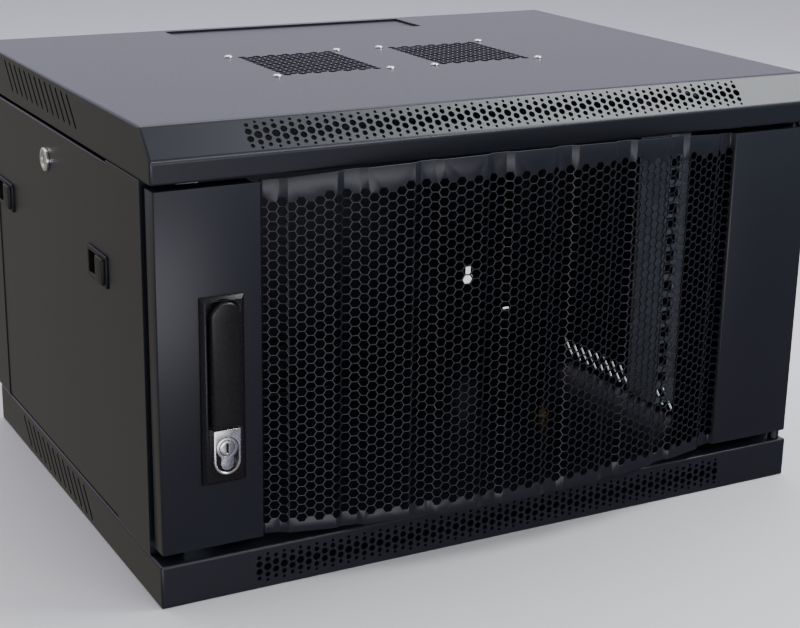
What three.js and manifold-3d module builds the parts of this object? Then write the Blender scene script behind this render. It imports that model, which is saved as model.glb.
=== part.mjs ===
// Network server rack cabinet: six rack units high, for a desk or a wall, with a perforated front door.
// Millimetres, +Z up. The origin is the middle of the footprint, on the floor. The door faces -Y.
// Left and right are as seen by someone who faces the door, so right is +X.
import * as THREE from "three";
import { mergeVertices } from "three/addons/utils/BufferGeometryUtils.js";
import Module from "manifold-3d";

const wasm = await Module();
wasm.setup();

// ---------------------------------------------------------------- driving dimensions

// The cabinet.
const WIDTH = 600;
const DEPTH = 450;
const HEIGHT = 367;
const SHEET = 1.5;
const GAP = 0.3;
// How far a cutting tool reaches past the metal that it cuts.
const PAST = 1;
const SIDE = WIDTH / 2;
const FRONT = -DEPTH / 2;
const BACK = DEPTH / 2;

// The base tray.
const BASE_HEIGHT = 35;
const BASE_BACK = BACK - 5;
const BASE_FRONT_LEDGE = 24;
const TRAY_LEDGE = 14;

// The lid, whose front edge is bevelled.
const LID_BOTTOM = 328;
const BEVEL_DEPTH = 21;
const BEVEL_DROP = 22;
const LIP_LEDGE = 15;

// Slanted ventilation slots, the same in the lid's skirts and in the base's walls.
const SLOT_COUNT = 13;
const SLOT_PITCH = 14.8;
const SLOT_WIDTH = 3;
const SLOT_RISE = 22;
const SLOT_RUN = 21;
const SLOT_FIRST_Y = FRONT + 167;
const SLOT_BASE_Z = 6.5;
const SLOT_LID_Z = 339;

// Cable entries at the back of the lid and of the base, each closed by a plate.
const CABLE_HALF_WIDTH = 125;
const CABLE_FRONT_Y = FRONT + 385;
const CABLE_BACK_Y = FRONT + 440;
const CABLE_OVERLAP = 3;

// The four corner columns.
const COLUMN_BOTTOM = BASE_HEIGHT + GAP;
const COLUMN_TOP = LID_BOTTOM - GAP;
const FRONT_COLUMN_Y = FRONT + 24;
const PANEL_FRONT_Y = FRONT + 97;
const PANEL_BACK_Y = FRONT + 413;
const COLUMN_FACE = 28;
const COLUMN_FLANGE = 38;
const COLUMN_LIP = 10;

// The corrugated door: flat margins, then narrow grooves and wide ribs in turn. The corrugated part bows
// outwards, and its top edge rises with the bow, in front of the lid.
const DOOR_SIDE = 298.3;
const DOOR_BOTTOM = 44;
const DOOR_TOP = 323.5;
const DOOR_THICK = 18;
const DOOR_LIP = 10;
const MESH_HALF_WIDTH = 216.5;
const GROOVE_COUNT = 8;
const GROOVE_WIDTH = 12;
const GROOVE_DEPTH = 5.5;
const RIB_DEPTH = 2.7;
const MARGIN_STEP = 3;
const BOW_DEPTH = 30;
const BOW_RISE = 10.5;
const BOW_STEPS = 24;
const HINGE_X = 292;
const HINGE_Y = FRONT + 8;
const HINGE_PIN_RADIUS = 2.5;
const HINGE_COLLAR_RADIUS = 5;
const HINGE_PIN_REACH = 16;
const HINGE_PIN_SEAT = 8;
const STIFFENER_INNER = 228;
const STIFFENER_OUTER = 285;
const STIFFENER_SHEET = 1.2;
const STIFFENER_INSET = 6;

// The swing handle on the door's left margin.
const HANDLE_X = -248.5;
const PLATE_WIDTH = 35;
const PLATE_BOTTOM = 96;
const PLATE_TOP = 242.5;
const PLATE_FACE = FRONT - 5;
const PLATE_BEVEL = 3;
const DISH_RADIUS = 13;
const DISH_DEPTH = 1.4;
const LEVER_WIDTH = 24;
const LEVER_BOTTOM = 142.2;
const LEVER_BACK = PLATE_FACE - 0.4;
const LEVER_THICK = 6;
const PIVOT_Z = 228;
const PIVOT_Y = FRONT - 8.3;
const LEVER_PIN_RADIUS = 1;
const LEVER_EYE_RADIUS = 2.1;
const LEVER_EYE_HALF_WIDTH = 3.5;
const SHAFT_RADIUS = 8;
const SPIGOT_RADIUS = 4;
const CAM_Y = FRONT + 27;
const CAM_THICK = 3;
const CAM_HALF_WIDTH = 8;
const CAM_TIP_HALF_WIDTH = 3;
const CAM_TIP_SLOPE = 1.3;
const LOCK_TOP = 141;
const LOCK_WIDTH = 21.5;
const LOCK_Z = 126;
const LOCK_HEAD_RADIUS = 8.5;
const LOCK_PLUG_RADIUS = 6;
const LOCK_RIM = 1.8;
const LOCK_THICK = 4;
const LOCK_HOLE_HALF_WIDTH = 9.5;
const LOCK_HOLE_BOTTOM = 107;
const LOCK_HOLE_TOP = 136;
const KEYWAY_HALF_WIDTH = 0.9;
const KEYWAY_HALF_HEIGHT = 4;
const KEYWAY_DEPTH = 5;

// The side panels, with a cam lock and two sprung latches each.
const PANEL_FACE = SIDE - 0.8;
const PANEL_BOTTOM = BASE_HEIGHT + 1;
const PANEL_TOP = 325;
const PANEL_RETURN = 14;
const SIDE_LOCK_Y = FRONT + 255;
const SIDE_LOCK_Z = 296;
const SIDE_LOCK_RADIUS = 10;
const SIDE_LOCK_BARREL_RADIUS = 8;
const SIDE_LOCK_DEPTH = 17;
const LATCH_Z = 238;
const LATCH_LENGTH = 47;
const LATCH_HEIGHT = 26;
const LATCH_FRONT_Y = FRONT + 102;
const LATCH_REAR_Y = FRONT + 363;
const POCKET_LENGTH = 20;
const POCKET_HEIGHT = 18;
const LATCH_FACE = PANEL_FACE + GAP + 1.6;
const LATCH_BACK = SIDE - 12;
const GRIP_LENGTH = 17;
const GRIP_GAP = 3;
const TONGUE_CLEARANCE = 0.8;

// The 19-inch rails and the brackets that carry them.
const RAIL_INNER = 225.5;
const RAIL_FLANGE = 22;
const RAIL_Y = FRONT + 100;
const RAIL_WEB = 45;
const RAIL_LEG = 20;
const RAIL_BOTTOM = 46;
const RAIL_TOP = 320;
const RACK_UNIT = 44.45;
const RACK_UNITS = 6;
const RACK_START_Z = 50;
const UNIT_HOLES = [6.35, 22.225, 38.1];
const RACK_HOLE_X = 232.55;
const RACK_HOLE = 9.5;
const BRACKET_X = RAIL_INNER + RAIL_FLANGE + 2.8;
const BRACKET_HEIGHT = 30;
const BRACKET_FLANGE = 20;
const BRACKET_LOW_Z = 52;
const BRACKET_HIGH_Z = 284;
const BRACKET_SLOTS = [40, 120, 200];
const BRACKET_SLOT_LENGTH = 60;
const BRACKET_SLOT_HEIGHT = 7;

// The back panel's wall hooks, and the earthing stud on the floor.
const REAR_PANEL_FACE = BACK - 1;
const REAR_PANEL_BOTTOM = 22;
const KEYHOLE_X = 225;
const KEYHOLE_LOW_Z = 75;
const KEYHOLE_HIGH_Z = 290;
const KEYHOLE_RADIUS = 6.5;
const KEYHOLE_NECK = 7;
const EARTH_X = 178;
const EARTH_Y = -8;
const EARTH_RADIUS = 3;
const EARTH_HEIGHT = 15;

// The two roof fans.
const FAN_X = 74;
const FAN_Y = -1;
const FAN_SIZE = 120;
const FAN_DEPTH = 25;
const FAN_BORE = 57.5;
const FAN_SCREW_PITCH = 105;
const FAN_BLADES = 7;
const FAN_HUB_RADIUS = 19;
const FAN_STRUT = 2.5;
const FAN_TOP = HEIGHT - SHEET - GAP;
const BLADE_WIDTH = 24;
const BLADE_THICK = 1.8;
const BLADE_TILT = 0.6;
const BLADE_CLEARANCE = 2.5;
const SCREW_HOLE_RADIUS = 2.2;
const SCREW_RADIUS = 1.7;
const SCREW_LENGTH = 12;

// ---------------------------------------------------------------- solids from three.js geometries

function solid(geometry) {
  const bare = geometry.index ? geometry.toNonIndexed() : geometry.clone();
  bare.deleteAttribute("normal");
  bare.deleteAttribute("uv");
  const merged = mergeVertices(bare, 1e-4);
  return new wasm.Manifold(
    new wasm.Mesh({
      numProp: 3,
      vertProperties: merged.attributes.position.array,
      triVerts: new Uint32Array(merged.index.array),
    }),
  );
}

function geometryOf(body) {
  const made = body.getMesh();
  const geometry = new THREE.BufferGeometry();
  geometry.setAttribute("position", new THREE.BufferAttribute(made.vertProperties, 3));
  geometry.setIndex(new THREE.BufferAttribute(made.triVerts, 1));
  geometry.computeVertexNormals();
  return geometry;
}

function joined(...bodies) {
  return bodies.reduce((whole, body) => whole.add(body));
}

function without(body, ...tools) {
  return tools.reduce((left, tool) => left.subtract(tool), body);
}

function box(x0, x1, y0, y1, z0, z1) {
  const geometry = new THREE.BoxGeometry(x1 - x0, y1 - y0, z1 - z0);
  geometry.translate((x0 + x1) / 2, (y0 + y1) / 2, (z0 + z1) / 2);
  return solid(geometry);
}

// An outline given as (x, y), extruded upwards.
function extrudeUp(shape, z0, z1) {
  const geometry = new THREE.ExtrudeGeometry(shape, { depth: z1 - z0, bevelEnabled: false });
  geometry.translate(0, 0, z0);
  return solid(geometry);
}

// An outline given as (x, z), extruded from front to back.
function extrudeBack(shape, y0, y1) {
  const geometry = new THREE.ExtrudeGeometry(shape, { depth: y1 - y0, bevelEnabled: false });
  geometry.rotateX(Math.PI / 2);
  geometry.translate(0, y1, 0);
  return solid(geometry);
}

// An outline given as (y, z), extruded from left to right.
function extrudeAcross(shape, x0, x1) {
  const geometry = new THREE.ExtrudeGeometry(shape, { depth: x1 - x0, bevelEnabled: false });
  const alongY = new THREE.Vector3(0, 1, 0);
  const alongZ = new THREE.Vector3(0, 0, 1);
  const alongX = new THREE.Vector3(1, 0, 0);
  geometry.applyMatrix4(new THREE.Matrix4().makeBasis(alongY, alongZ, alongX));
  geometry.translate(x0, 0, 0);
  return solid(geometry);
}

function polygon(points) {
  return new THREE.Shape(points.map(([u, v]) => new THREE.Vector2(u, v)));
}

function circle(u, v, radius, sides = 16) {
  const step = (2 * Math.PI) / sides;
  const turn = (index) => (index + 0.5) * step;
  const points = Array.from({ length: sides }, (_, index) => [
    u + radius * Math.cos(turn(index)),
    v + radius * Math.sin(turn(index)),
  ]);
  return polygon(points);
}

function rodUp(x, y, radius, z0, z1, sides) {
  return extrudeUp(circle(x, y, radius, sides), z0, z1);
}

function rodBack(x, z, radius, y0, y1, sides) {
  return extrudeBack(circle(x, z, radius, sides), y0, y1);
}

function rodAcross(y, z, radius, x0, x1, sides) {
  return extrudeAcross(circle(y, z, radius, sides), x0, x1);
}

// The section of a bent sheet: the path is its outer face, and the metal lies on the path's right.
function bentSheet(path, thickness = SHEET) {
  const inner = path.map((point, index) => {
    const before = path[Math.max(index - 1, 0)];
    const after = path[Math.min(index + 1, path.length - 1)];
    const isFirst = index === 0;
    const isLast = index === path.length - 1;
    const first = rightNormal(isFirst ? point : before, isFirst ? after : point);
    const second = rightNormal(isLast ? before : point, isLast ? point : after);
    const reach = thickness / (1 + first[0] * second[0] + first[1] * second[1]);
    return [point[0] + reach * (first[0] + second[0]), point[1] + reach * (first[1] + second[1])];
  });
  return polygon([...path, ...inner.reverse()]);
}

function rightNormal(from, to) {
  const length = Math.hypot(to[0] - from[0], to[1] - from[1]);
  return [(to[1] - from[1]) / length, (from[0] - to[0]) / length];
}

// A slot with a flat top and a round bottom, as (x, z).
function tongueOutline(x, top, bottom, width) {
  const radius = width / 2;
  const shape = new THREE.Shape();
  shape.moveTo(x - radius, top);
  shape.lineTo(x - radius, bottom + radius);
  shape.absarc(x, bottom + radius, radius, Math.PI, 2 * Math.PI, false);
  shape.lineTo(x + radius, top);
  return polygon(shape.getPoints(6).map((point) => [point.x, point.y]));
}

// ---------------------------------------------------------------- materials and the scene graph

function finish(color, roughness, metalness) {
  return () => new THREE.MeshStandardMaterial({ color, roughness, metalness });
}

const BLACK_PAINT = finish(0x2b2c30, 0.5, 0.2);
const BLACK_PLASTIC = finish(0x17171a, 0.4, 0);
const CHROME = finish(0xc8cac6, 0.2, 1);
const ZINC = finish(0x9aa3ad, 0.4, 0.9);
const BRASS = finish(0xb58a3c, 0.35, 0.9);
const FAN_PLASTIC = finish(0x1c1c1e, 0.6, 0);

const cabinet = new THREE.Group();

function place(name, body, material) {
  const mesh = new THREE.Mesh(geometryOf(body), material());
  mesh.name = name;
  cabinet.add(mesh);
  return mesh;
}

// Pieces of the right side are drawn once, and the left side has their mirror images.
function placeBothSides(name, body, material) {
  place(name + "_right", body, material);
  place(name + "_left", body, material).scale.x = -1;
}

// ---------------------------------------------------------------- base tray and lid

function slotCutters(z) {
  const half = SLOT_WIDTH * Math.SQRT1_2;
  return Array.from({ length: SLOT_COUNT }, (_, index) => {
    const y = SLOT_FIRST_Y + index * SLOT_PITCH;
    const outline = polygon([
      [y - half, z],
      [y + half, z],
      [y + SLOT_RUN + half, z + SLOT_RISE],
      [y + SLOT_RUN - half, z + SLOT_RISE],
    ]);
    return extrudeAcross(outline, -SIDE - PAST, SIDE + PAST);
  });
}

function cableCutter(z0, z1) {
  return box(-CABLE_HALF_WIDTH, CABLE_HALF_WIDTH, CABLE_FRONT_Y, CABLE_BACK_Y, z0, z1);
}

function cablePlate(z0) {
  const edge = CABLE_OVERLAP;
  return box(
    -CABLE_HALF_WIDTH - edge,
    CABLE_HALF_WIDTH + edge,
    CABLE_FRONT_Y - edge,
    CABLE_BACK_Y + edge,
    z0,
    z0 + SHEET,
  );
}

function baseTray() {
  const inner = SIDE - SHEET;
  const block = box(-SIDE, SIDE, FRONT, BASE_BACK, 0, BASE_HEIGHT);
  const hollow = box(-inner, inner, FRONT + SHEET, BASE_BACK - SHEET, SHEET, BASE_HEIGHT - SHEET);
  const mouth = box(
    -SIDE + TRAY_LEDGE,
    SIDE - TRAY_LEDGE,
    FRONT + BASE_FRONT_LEDGE,
    BASE_BACK - TRAY_LEDGE,
    SHEET,
    BASE_HEIGHT + PAST,
  );
  const pinHoleRadius = HINGE_PIN_RADIUS + GAP;
  const hingeHole = rodUp(HINGE_X, HINGE_Y, pinHoleRadius, BASE_HEIGHT - SHEET - PAST, BASE_HEIGHT + PAST);
  const studHole = rodUp(EARTH_X, EARTH_Y, EARTH_RADIUS + GAP, -PAST, SHEET + PAST);
  const cableHole = cableCutter(-PAST, SHEET + PAST);
  return without(block, hollow, mouth, hingeHole, studHole, cableHole, ...slotCutters(SLOT_BASE_Z));
}

function lid() {
  const bevelBottom = HEIGHT - BEVEL_DROP;
  const path = [
    [FRONT + LIP_LEDGE, LID_BOTTOM],
    [FRONT, LID_BOTTOM],
    [FRONT, bevelBottom],
    [FRONT + BEVEL_DEPTH, HEIGHT],
    [BACK, HEIGHT],
    [BACK, LID_BOTTOM],
    [BACK - TRAY_LEDGE, LID_BOTTOM],
  ];
  const folded = extrudeAcross(bentSheet(path), -SIDE, SIDE);
  const skirtOutline = polygon(path.slice(1, 6));
  const skirts = [-SIDE, SIDE - SHEET].map((x) => extrudeAcross(skirtOutline, x, x + SHEET));
  const ledges = [-SIDE, SIDE - TRAY_LEDGE].map((x) =>
    box(x, x + TRAY_LEDGE, FRONT, BACK, LID_BOTTOM, LID_BOTTOM + SHEET),
  );
  const whole = joined(folded, ...skirts, ...ledges);
  const roof = [HEIGHT - SHEET - PAST, HEIGHT + PAST];
  const screwHoles = fanScrewPlaces().map(([x, y]) => rodUp(x, y, SCREW_HOLE_RADIUS, ...roof, 8));
  const pinHoleRadius = HINGE_PIN_RADIUS + GAP;
  const hingeHole = rodUp(HINGE_X, HINGE_Y, pinHoleRadius, LID_BOTTOM - PAST, LID_BOTTOM + SHEET + PAST);
  return without(whole, ...screwHoles, hingeHole, cableCutter(...roof), ...slotCutters(SLOT_LID_Z));
}

// ---------------------------------------------------------------- columns, back and rails

function frontColumn() {
  const path = [
    [SIDE - COLUMN_FACE, FRONT_COLUMN_Y + COLUMN_LIP],
    [SIDE - COLUMN_FACE, FRONT_COLUMN_Y],
    [SIDE, FRONT_COLUMN_Y],
    [SIDE, PANEL_FRONT_Y],
    [SIDE - COLUMN_FLANGE, PANEL_FRONT_Y],
  ];
  return extrudeUp(bentSheet(path.reverse()), COLUMN_BOTTOM, COLUMN_TOP);
}

function rearColumn() {
  const path = [
    [SIDE - COLUMN_FLANGE, PANEL_BACK_Y],
    [SIDE, PANEL_BACK_Y],
    [SIDE, BACK],
    [SIDE - COLUMN_FACE, BACK],
  ];
  return extrudeUp(bentSheet(path.reverse()), COLUMN_BOTTOM, COLUMN_TOP);
}

function keyhole(x, z) {
  const half = KEYHOLE_NECK / 2;
  const front = REAR_PANEL_FACE - SHEET - PAST;
  const head = rodBack(x, z, KEYHOLE_RADIUS, front, BACK, 12);
  const neck = box(x - half, x + half, front, BACK, z, z + 2 * KEYHOLE_NECK);
  return joined(head, neck);
}

function rearPanel() {
  const half = SIDE - COLUMN_FACE - GAP;
  const [y0, y1] = [REAR_PANEL_FACE - SHEET, REAR_PANEL_FACE];
  const sheet = box(-half, half, y0, y1, REAR_PANEL_BOTTOM, COLUMN_TOP - 0.7);
  const heights = [KEYHOLE_LOW_Z, KEYHOLE_HIGH_Z];
  const hooks = heights.flatMap((z) => [keyhole(-KEYHOLE_X, z), keyhole(KEYHOLE_X, z)]);
  return without(sheet, ...hooks);
}

function rackRail() {
  const legX = BRACKET_X - GAP - SHEET;
  const path = [
    [RAIL_INNER + RAIL_FLANGE, RAIL_Y],
    [RAIL_INNER, RAIL_Y],
    [RAIL_INNER, RAIL_Y + RAIL_WEB],
    [legX, RAIL_Y + RAIL_WEB],
    [legX, RAIL_Y + RAIL_WEB + RAIL_LEG],
  ];
  const bar = extrudeUp(bentSheet(path), RAIL_BOTTOM, RAIL_TOP);
  const half = RACK_HOLE / 2;
  const [x0, x1] = [RACK_HOLE_X - half, RACK_HOLE_X + half];
  const holes = [];
  for (let unit = 0; unit < RACK_UNITS; unit += 1) {
    for (const offset of UNIT_HOLES) {
      const z = RACK_START_Z + unit * RACK_UNIT + offset;
      holes.push(box(x0, x1, RAIL_Y - PAST, RAIL_Y + SHEET + PAST, z - half, z + half));
    }
  }
  return without(bar, ...holes);
}

function depthBracket(z) {
  const path = [
    [BRACKET_X + BRACKET_FLANGE, z],
    [BRACKET_X, z],
    [BRACKET_X, z + BRACKET_HEIGHT],
    [BRACKET_X + BRACKET_FLANGE, z + BRACKET_HEIGHT],
  ];
  const y0 = PANEL_FRONT_Y + GAP;
  const y1 = PANEL_BACK_Y - GAP;
  const channel = extrudeBack(bentSheet(path), y0, y1);
  const earEnd = SIDE - PANEL_RETURN - 4;
  const ears = [y0, y1 - SHEET].map((y) => box(BRACKET_X, earEnd, y, y + SHEET, z, z + BRACKET_HEIGHT));
  const slotZ = z + BRACKET_HEIGHT / 2;
  const half = BRACKET_SLOT_HEIGHT / 2;
  const [x0, x1] = [BRACKET_X - PAST, BRACKET_X + SHEET + PAST];
  const slots = BRACKET_SLOTS.map((along) =>
    box(x0, x1, y0 + along, y0 + along + BRACKET_SLOT_LENGTH, slotZ - half, slotZ + half),
  );
  return without(joined(channel, ...ears), ...slots);
}

// ---------------------------------------------------------------- earthing stud

function earthStud() {
  const washer = rodUp(EARTH_X, EARTH_Y, 7.5, SHEET + GAP, SHEET + 1.8);
  const nut = rodUp(EARTH_X, EARTH_Y, 6, SHEET + 1.5, SHEET + 7, 6);
  const shank = rodUp(EARTH_X, EARTH_Y, EARTH_RADIUS, GAP, SHEET + EARTH_HEIGHT, 12);
  return joined(washer, nut, shank);
}

// ---------------------------------------------------------------- roof fans

function fanScrewPlaces() {
  const half = FAN_SCREW_PITCH / 2;
  const places = [];
  for (const side of [-1, 1]) {
    for (const dx of [-half, half]) {
      for (const dy of [-half, half]) {
        places.push([side * FAN_X + dx, FAN_Y + dy]);
      }
    }
  }
  return places;
}

function fanFrame(x) {
  const half = FAN_SIZE / 2;
  const bottom = FAN_TOP - FAN_DEPTH;
  const block = box(x - half, x + half, FAN_Y - half, FAN_Y + half, bottom, FAN_TOP);
  const bore = rodUp(x, FAN_Y, FAN_BORE, bottom - PAST, FAN_TOP + PAST, 32);
  const holes = fanScrewPlaces()
    .filter(([holeX]) => Math.abs(holeX - x) < half)
    .map(([holeX, holeY]) => rodUp(holeX, holeY, SCREW_HOLE_RADIUS, bottom - PAST, FAN_TOP + PAST, 8));
  const strutTop = bottom + FAN_STRUT;
  const reach = FAN_BORE + 1;
  const motorSeat = rodUp(x, FAN_Y, FAN_HUB_RADIUS + 1, bottom, strutTop, 24);
  const struts = [
    box(x - reach, x + reach, FAN_Y - FAN_STRUT, FAN_Y + FAN_STRUT, bottom, strutTop),
    box(x - FAN_STRUT, x + FAN_STRUT, FAN_Y - reach, FAN_Y + reach, bottom, strutTop),
  ];
  return joined(without(block, bore, ...holes), motorSeat, ...struts);
}

function fanRotor(x) {
  const bottom = FAN_TOP - FAN_DEPTH + FAN_STRUT + 1;
  const top = FAN_TOP - 2;
  const hub = rodUp(x, FAN_Y, FAN_HUB_RADIUS, bottom, top, 24);
  const tip = FAN_BORE - BLADE_CLEARANCE;
  const start = FAN_HUB_RADIUS - 4;
  const blades = Array.from({ length: FAN_BLADES }, (_, index) => {
    const geometry = new THREE.BoxGeometry(tip - start, BLADE_WIDTH, BLADE_THICK);
    geometry.rotateX(BLADE_TILT);
    geometry.translate((tip + start) / 2 - 3, 0, 0);
    geometry.rotateZ((index * 2 * Math.PI) / FAN_BLADES);
    geometry.translate(x, FAN_Y, (bottom + top) / 2);
    return solid(geometry);
  });
  return joined(hub, ...blades);
}

function fanScrew([x, y]) {
  const profile = [
    [0, HEIGHT + 2.2],
    [2.2, HEIGHT + 1.9],
    [3.4, HEIGHT + 1.1],
    [3.7, HEIGHT + GAP],
    [SCREW_RADIUS, HEIGHT + GAP],
    [SCREW_RADIUS, HEIGHT - SCREW_LENGTH],
    [0, HEIGHT - SCREW_LENGTH],
  ];
  const turned = new THREE.LatheGeometry(profile.reverse().map(([r, z]) => new THREE.Vector2(r, z)), 10);
  turned.rotateX(Math.PI / 2);
  turned.translate(x, y, 0);
  return solid(turned);
}

// ---------------------------------------------------------------- door

// The opening that the lock cylinder goes through, in the door and in the handle's plate.
function lockOpening(y0, y1) {
  const half = LOCK_HOLE_HALF_WIDTH;
  return box(HANDLE_X - half, HANDLE_X + half, y0, y1, LOCK_HOLE_BOTTOM, LOCK_HOLE_TOP);
}

// How far the corrugated part bows at x, from 0 at its ends to 1 in the middle.
function bowAt(x) {
  return 1 - (x / MESH_HALF_WIDTH) ** 2;
}

// The outer face of the door, from its left return round to its right one, as (x, y).
function doorPath() {
  const ribs = GROOVE_COUNT - 1;
  const span = 2 * (MESH_HALF_WIDTH - MARGIN_STEP);
  const slope = GROOVE_WIDTH * 0.45;
  const ribWidth = (span - GROOVE_COUNT * GROOVE_WIDTH - 2 * ribs * slope) / ribs;
  const path = [
    [-DOOR_SIDE + DOOR_LIP, FRONT + DOOR_THICK],
    [-DOOR_SIDE, FRONT + DOOR_THICK],
    [-DOOR_SIDE, FRONT],
    [-MESH_HALF_WIDTH, FRONT],
  ];
  const bowed = (x, depth) => [x, FRONT + depth - BOW_DEPTH * bowAt(x)];
  let x = -MESH_HALF_WIDTH + MARGIN_STEP;
  for (let groove = 0; groove < GROOVE_COUNT; groove += 1) {
    path.push(bowed(x, GROOVE_DEPTH), bowed(x + GROOVE_WIDTH, GROOVE_DEPTH));
    x += GROOVE_WIDTH;
    if (groove < ribs) {
      path.push(bowed(x + slope, RIB_DEPTH), bowed(x + slope + ribWidth, RIB_DEPTH));
      x += 2 * slope + ribWidth;
    }
  }
  path.push(
    [MESH_HALF_WIDTH, FRONT],
    [DOOR_SIDE, FRONT],
    [DOOR_SIDE, FRONT + DOOR_THICK],
    [DOOR_SIDE - DOOR_LIP, FRONT + DOOR_THICK],
  );
  return path;
}

// What is cut off above the door: its top edge is straight on the margins and arched in between.
function aboveDoor() {
  const past = SIDE + PAST;
  const high = DOOR_TOP + BOW_RISE + PAST;
  const arched = Array.from({ length: BOW_STEPS + 1 }, (_, step) => {
    const x = MESH_HALF_WIDTH * (1 - (2 * step) / BOW_STEPS);
    return [x, DOOR_TOP + BOW_RISE * bowAt(x)];
  });
  const outline = polygon([[-past, high], [-past, DOOR_TOP], ...arched.reverse(), [past, DOOR_TOP], [past, high]]);
  return extrudeBack(outline, FRONT - BOW_DEPTH - PAST, FRONT + DOOR_THICK + PAST);
}

function doorSheet() {
  const bent = extrudeUp(bentSheet(doorPath().reverse()), DOOR_BOTTOM, DOOR_TOP + BOW_RISE);
  const sheet = bent.subtract(aboveDoor());
  const caps = [-1, 1].flatMap((side) =>
    [DOOR_BOTTOM, DOOR_TOP - SHEET].map((z) => {
      const x0 = side < 0 ? -DOOR_SIDE : MESH_HALF_WIDTH + 4;
      const x1 = side < 0 ? -MESH_HALF_WIDTH - 4 : DOOR_SIDE;
      return box(x0, x1, FRONT, FRONT + DOOR_THICK, z, z + SHEET);
    }),
  );
  const pinHole = rodUp(HINGE_X, HINGE_Y, HINGE_PIN_RADIUS + GAP, DOOR_BOTTOM - PAST, DOOR_TOP + PAST);
  const skin = [FRONT - PAST, FRONT + SHEET + PAST];
  const shaftHole = rodBack(HANDLE_X, PIVOT_Z, SHAFT_RADIUS + 1, ...skin);
  const lockHole = lockOpening(...skin);
  return without(joined(sheet, ...caps), pinHole, shaftHole, lockHole);
}

function doorStiffener() {
  const y0 = FRONT + SHEET + GAP;
  const y1 = FRONT + DOOR_THICK - 1;
  const path = [
    [STIFFENER_INNER, y0],
    [STIFFENER_INNER, y1],
    [STIFFENER_OUTER, y1],
    [STIFFENER_OUTER, y0],
  ];
  const section = bentSheet(path, STIFFENER_SHEET);
  const channel = extrudeUp(section, DOOR_BOTTOM + STIFFENER_INSET, DOOR_TOP - STIFFENER_INSET);
  const shaftHole = rodBack(-HANDLE_X, PIVOT_Z, SHAFT_RADIUS + 1, y1 - STIFFENER_SHEET - PAST, y1 + PAST);
  return without(channel, shaftHole);
}

// A hinge pin stands in the base or hangs in the lid, and its collar fills the gap to the door.
function hingePin(low, high, collarLow, collarHigh) {
  const pin = rodUp(HINGE_X, HINGE_Y, HINGE_PIN_RADIUS, low, high);
  return joined(pin, rodUp(HINGE_X, HINGE_Y, HINGE_COLLAR_RADIUS, collarLow, collarHigh));
}

function lowHingePin() {
  const [low, high] = [BASE_HEIGHT - HINGE_PIN_SEAT, DOOR_BOTTOM + HINGE_PIN_REACH];
  return hingePin(low, high, BASE_HEIGHT + GAP, DOOR_BOTTOM - GAP);
}

function highHingePin() {
  const [low, high] = [DOOR_TOP - HINGE_PIN_REACH, LID_BOTTOM + HINGE_PIN_SEAT];
  return hingePin(low, high, DOOR_TOP + GAP, LID_BOTTOM - GAP);
}

// ---------------------------------------------------------------- swing handle and door lock

function handlePlate() {
  const bevel = PLATE_BEVEL;
  const half = PLATE_WIDTH / 2 - bevel;
  const shape = polygon([
    [HANDLE_X - half, PLATE_BOTTOM + bevel],
    [HANDLE_X + half, PLATE_BOTTOM + bevel],
    [HANDLE_X + half, PLATE_TOP - bevel],
    [HANDLE_X - half, PLATE_TOP - bevel],
  ]);
  const options = { depth: 8, bevelSize: bevel, bevelThickness: bevel, bevelSegments: 1 };
  const raised = new THREE.ExtrudeGeometry(shape, options);
  raised.rotateX(Math.PI / 2);
  raised.translate(0, PLATE_FACE + options.depth + bevel, 0);
  const behind = box(HANDLE_X - 40, HANDLE_X + 40, FRONT - GAP, FRONT + 20, PLATE_BOTTOM - 5, PLATE_TOP + 5);
  const [y0, y1] = [PLATE_FACE - PAST, PLATE_FACE + DISH_DEPTH];
  const dish = joined(
    box(HANDLE_X - DISH_RADIUS, HANDLE_X + DISH_RADIUS, y0, y1, LEVER_BOTTOM, PIVOT_Z),
    rodBack(HANDLE_X, PIVOT_Z, DISH_RADIUS, y0, y1, 24),
  );
  const shaftHole = rodBack(HANDLE_X, PIVOT_Z, SHAFT_RADIUS + 0.5, y0, FRONT + PAST, 20);
  const lockHole = lockOpening(y0, FRONT + PAST);
  return without(solid(raised), behind, dish, shaftHole, lockHole);
}

// The lever's side view, as (y, z): its back is cut away above the pivot, so that it can lift.
function leverSideView() {
  const front = LEVER_BACK - LEVER_THICK;
  const top = PIVOT_Z + LEVER_WIDTH / 2;
  return polygon([
    [front + 1.5, LEVER_BOTTOM],
    [LEVER_BACK, LEVER_BOTTOM],
    [LEVER_BACK, PIVOT_Z + 1],
    [PIVOT_Y - 0.8, top],
    [front + 1.2, top],
    [front, top - 8],
    [front, LEVER_BOTTOM + 2],
  ]);
}

function handleLever() {
  const half = LEVER_WIDTH / 2;
  const outline = new THREE.Shape();
  outline.moveTo(HANDLE_X - half, LEVER_BOTTOM);
  outline.lineTo(HANDLE_X + half, LEVER_BOTTOM);
  outline.absarc(HANDLE_X, PIVOT_Z, half, 0, Math.PI, false);
  const frontView = polygon(outline.getPoints(10).map((point) => [point.x, point.y]));
  const bar = extrudeBack(frontView, LEVER_BACK - LEVER_THICK - PAST, LEVER_BACK + PAST);
  const slab = extrudeAcross(leverSideView(), HANDLE_X - half - PAST, HANDLE_X + half + PAST);
  const pocketHalf = LEVER_EYE_HALF_WIDTH + 0.5;
  const [y0, y1] = [PIVOT_Y - LEVER_EYE_RADIUS - GAP, LEVER_BACK + PAST];
  const pocket = box(HANDLE_X - pocketHalf, HANDLE_X + pocketHalf, y0, y1, PIVOT_Z - 9, PIVOT_Z + 7);
  const pinHole = rodAcross(PIVOT_Y, PIVOT_Z, LEVER_PIN_RADIUS + 0.2, HANDLE_X - 9.5, HANDLE_X + 9.5, 12);
  return without(bar.intersect(slab), pocket, pinHole);
}

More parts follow.
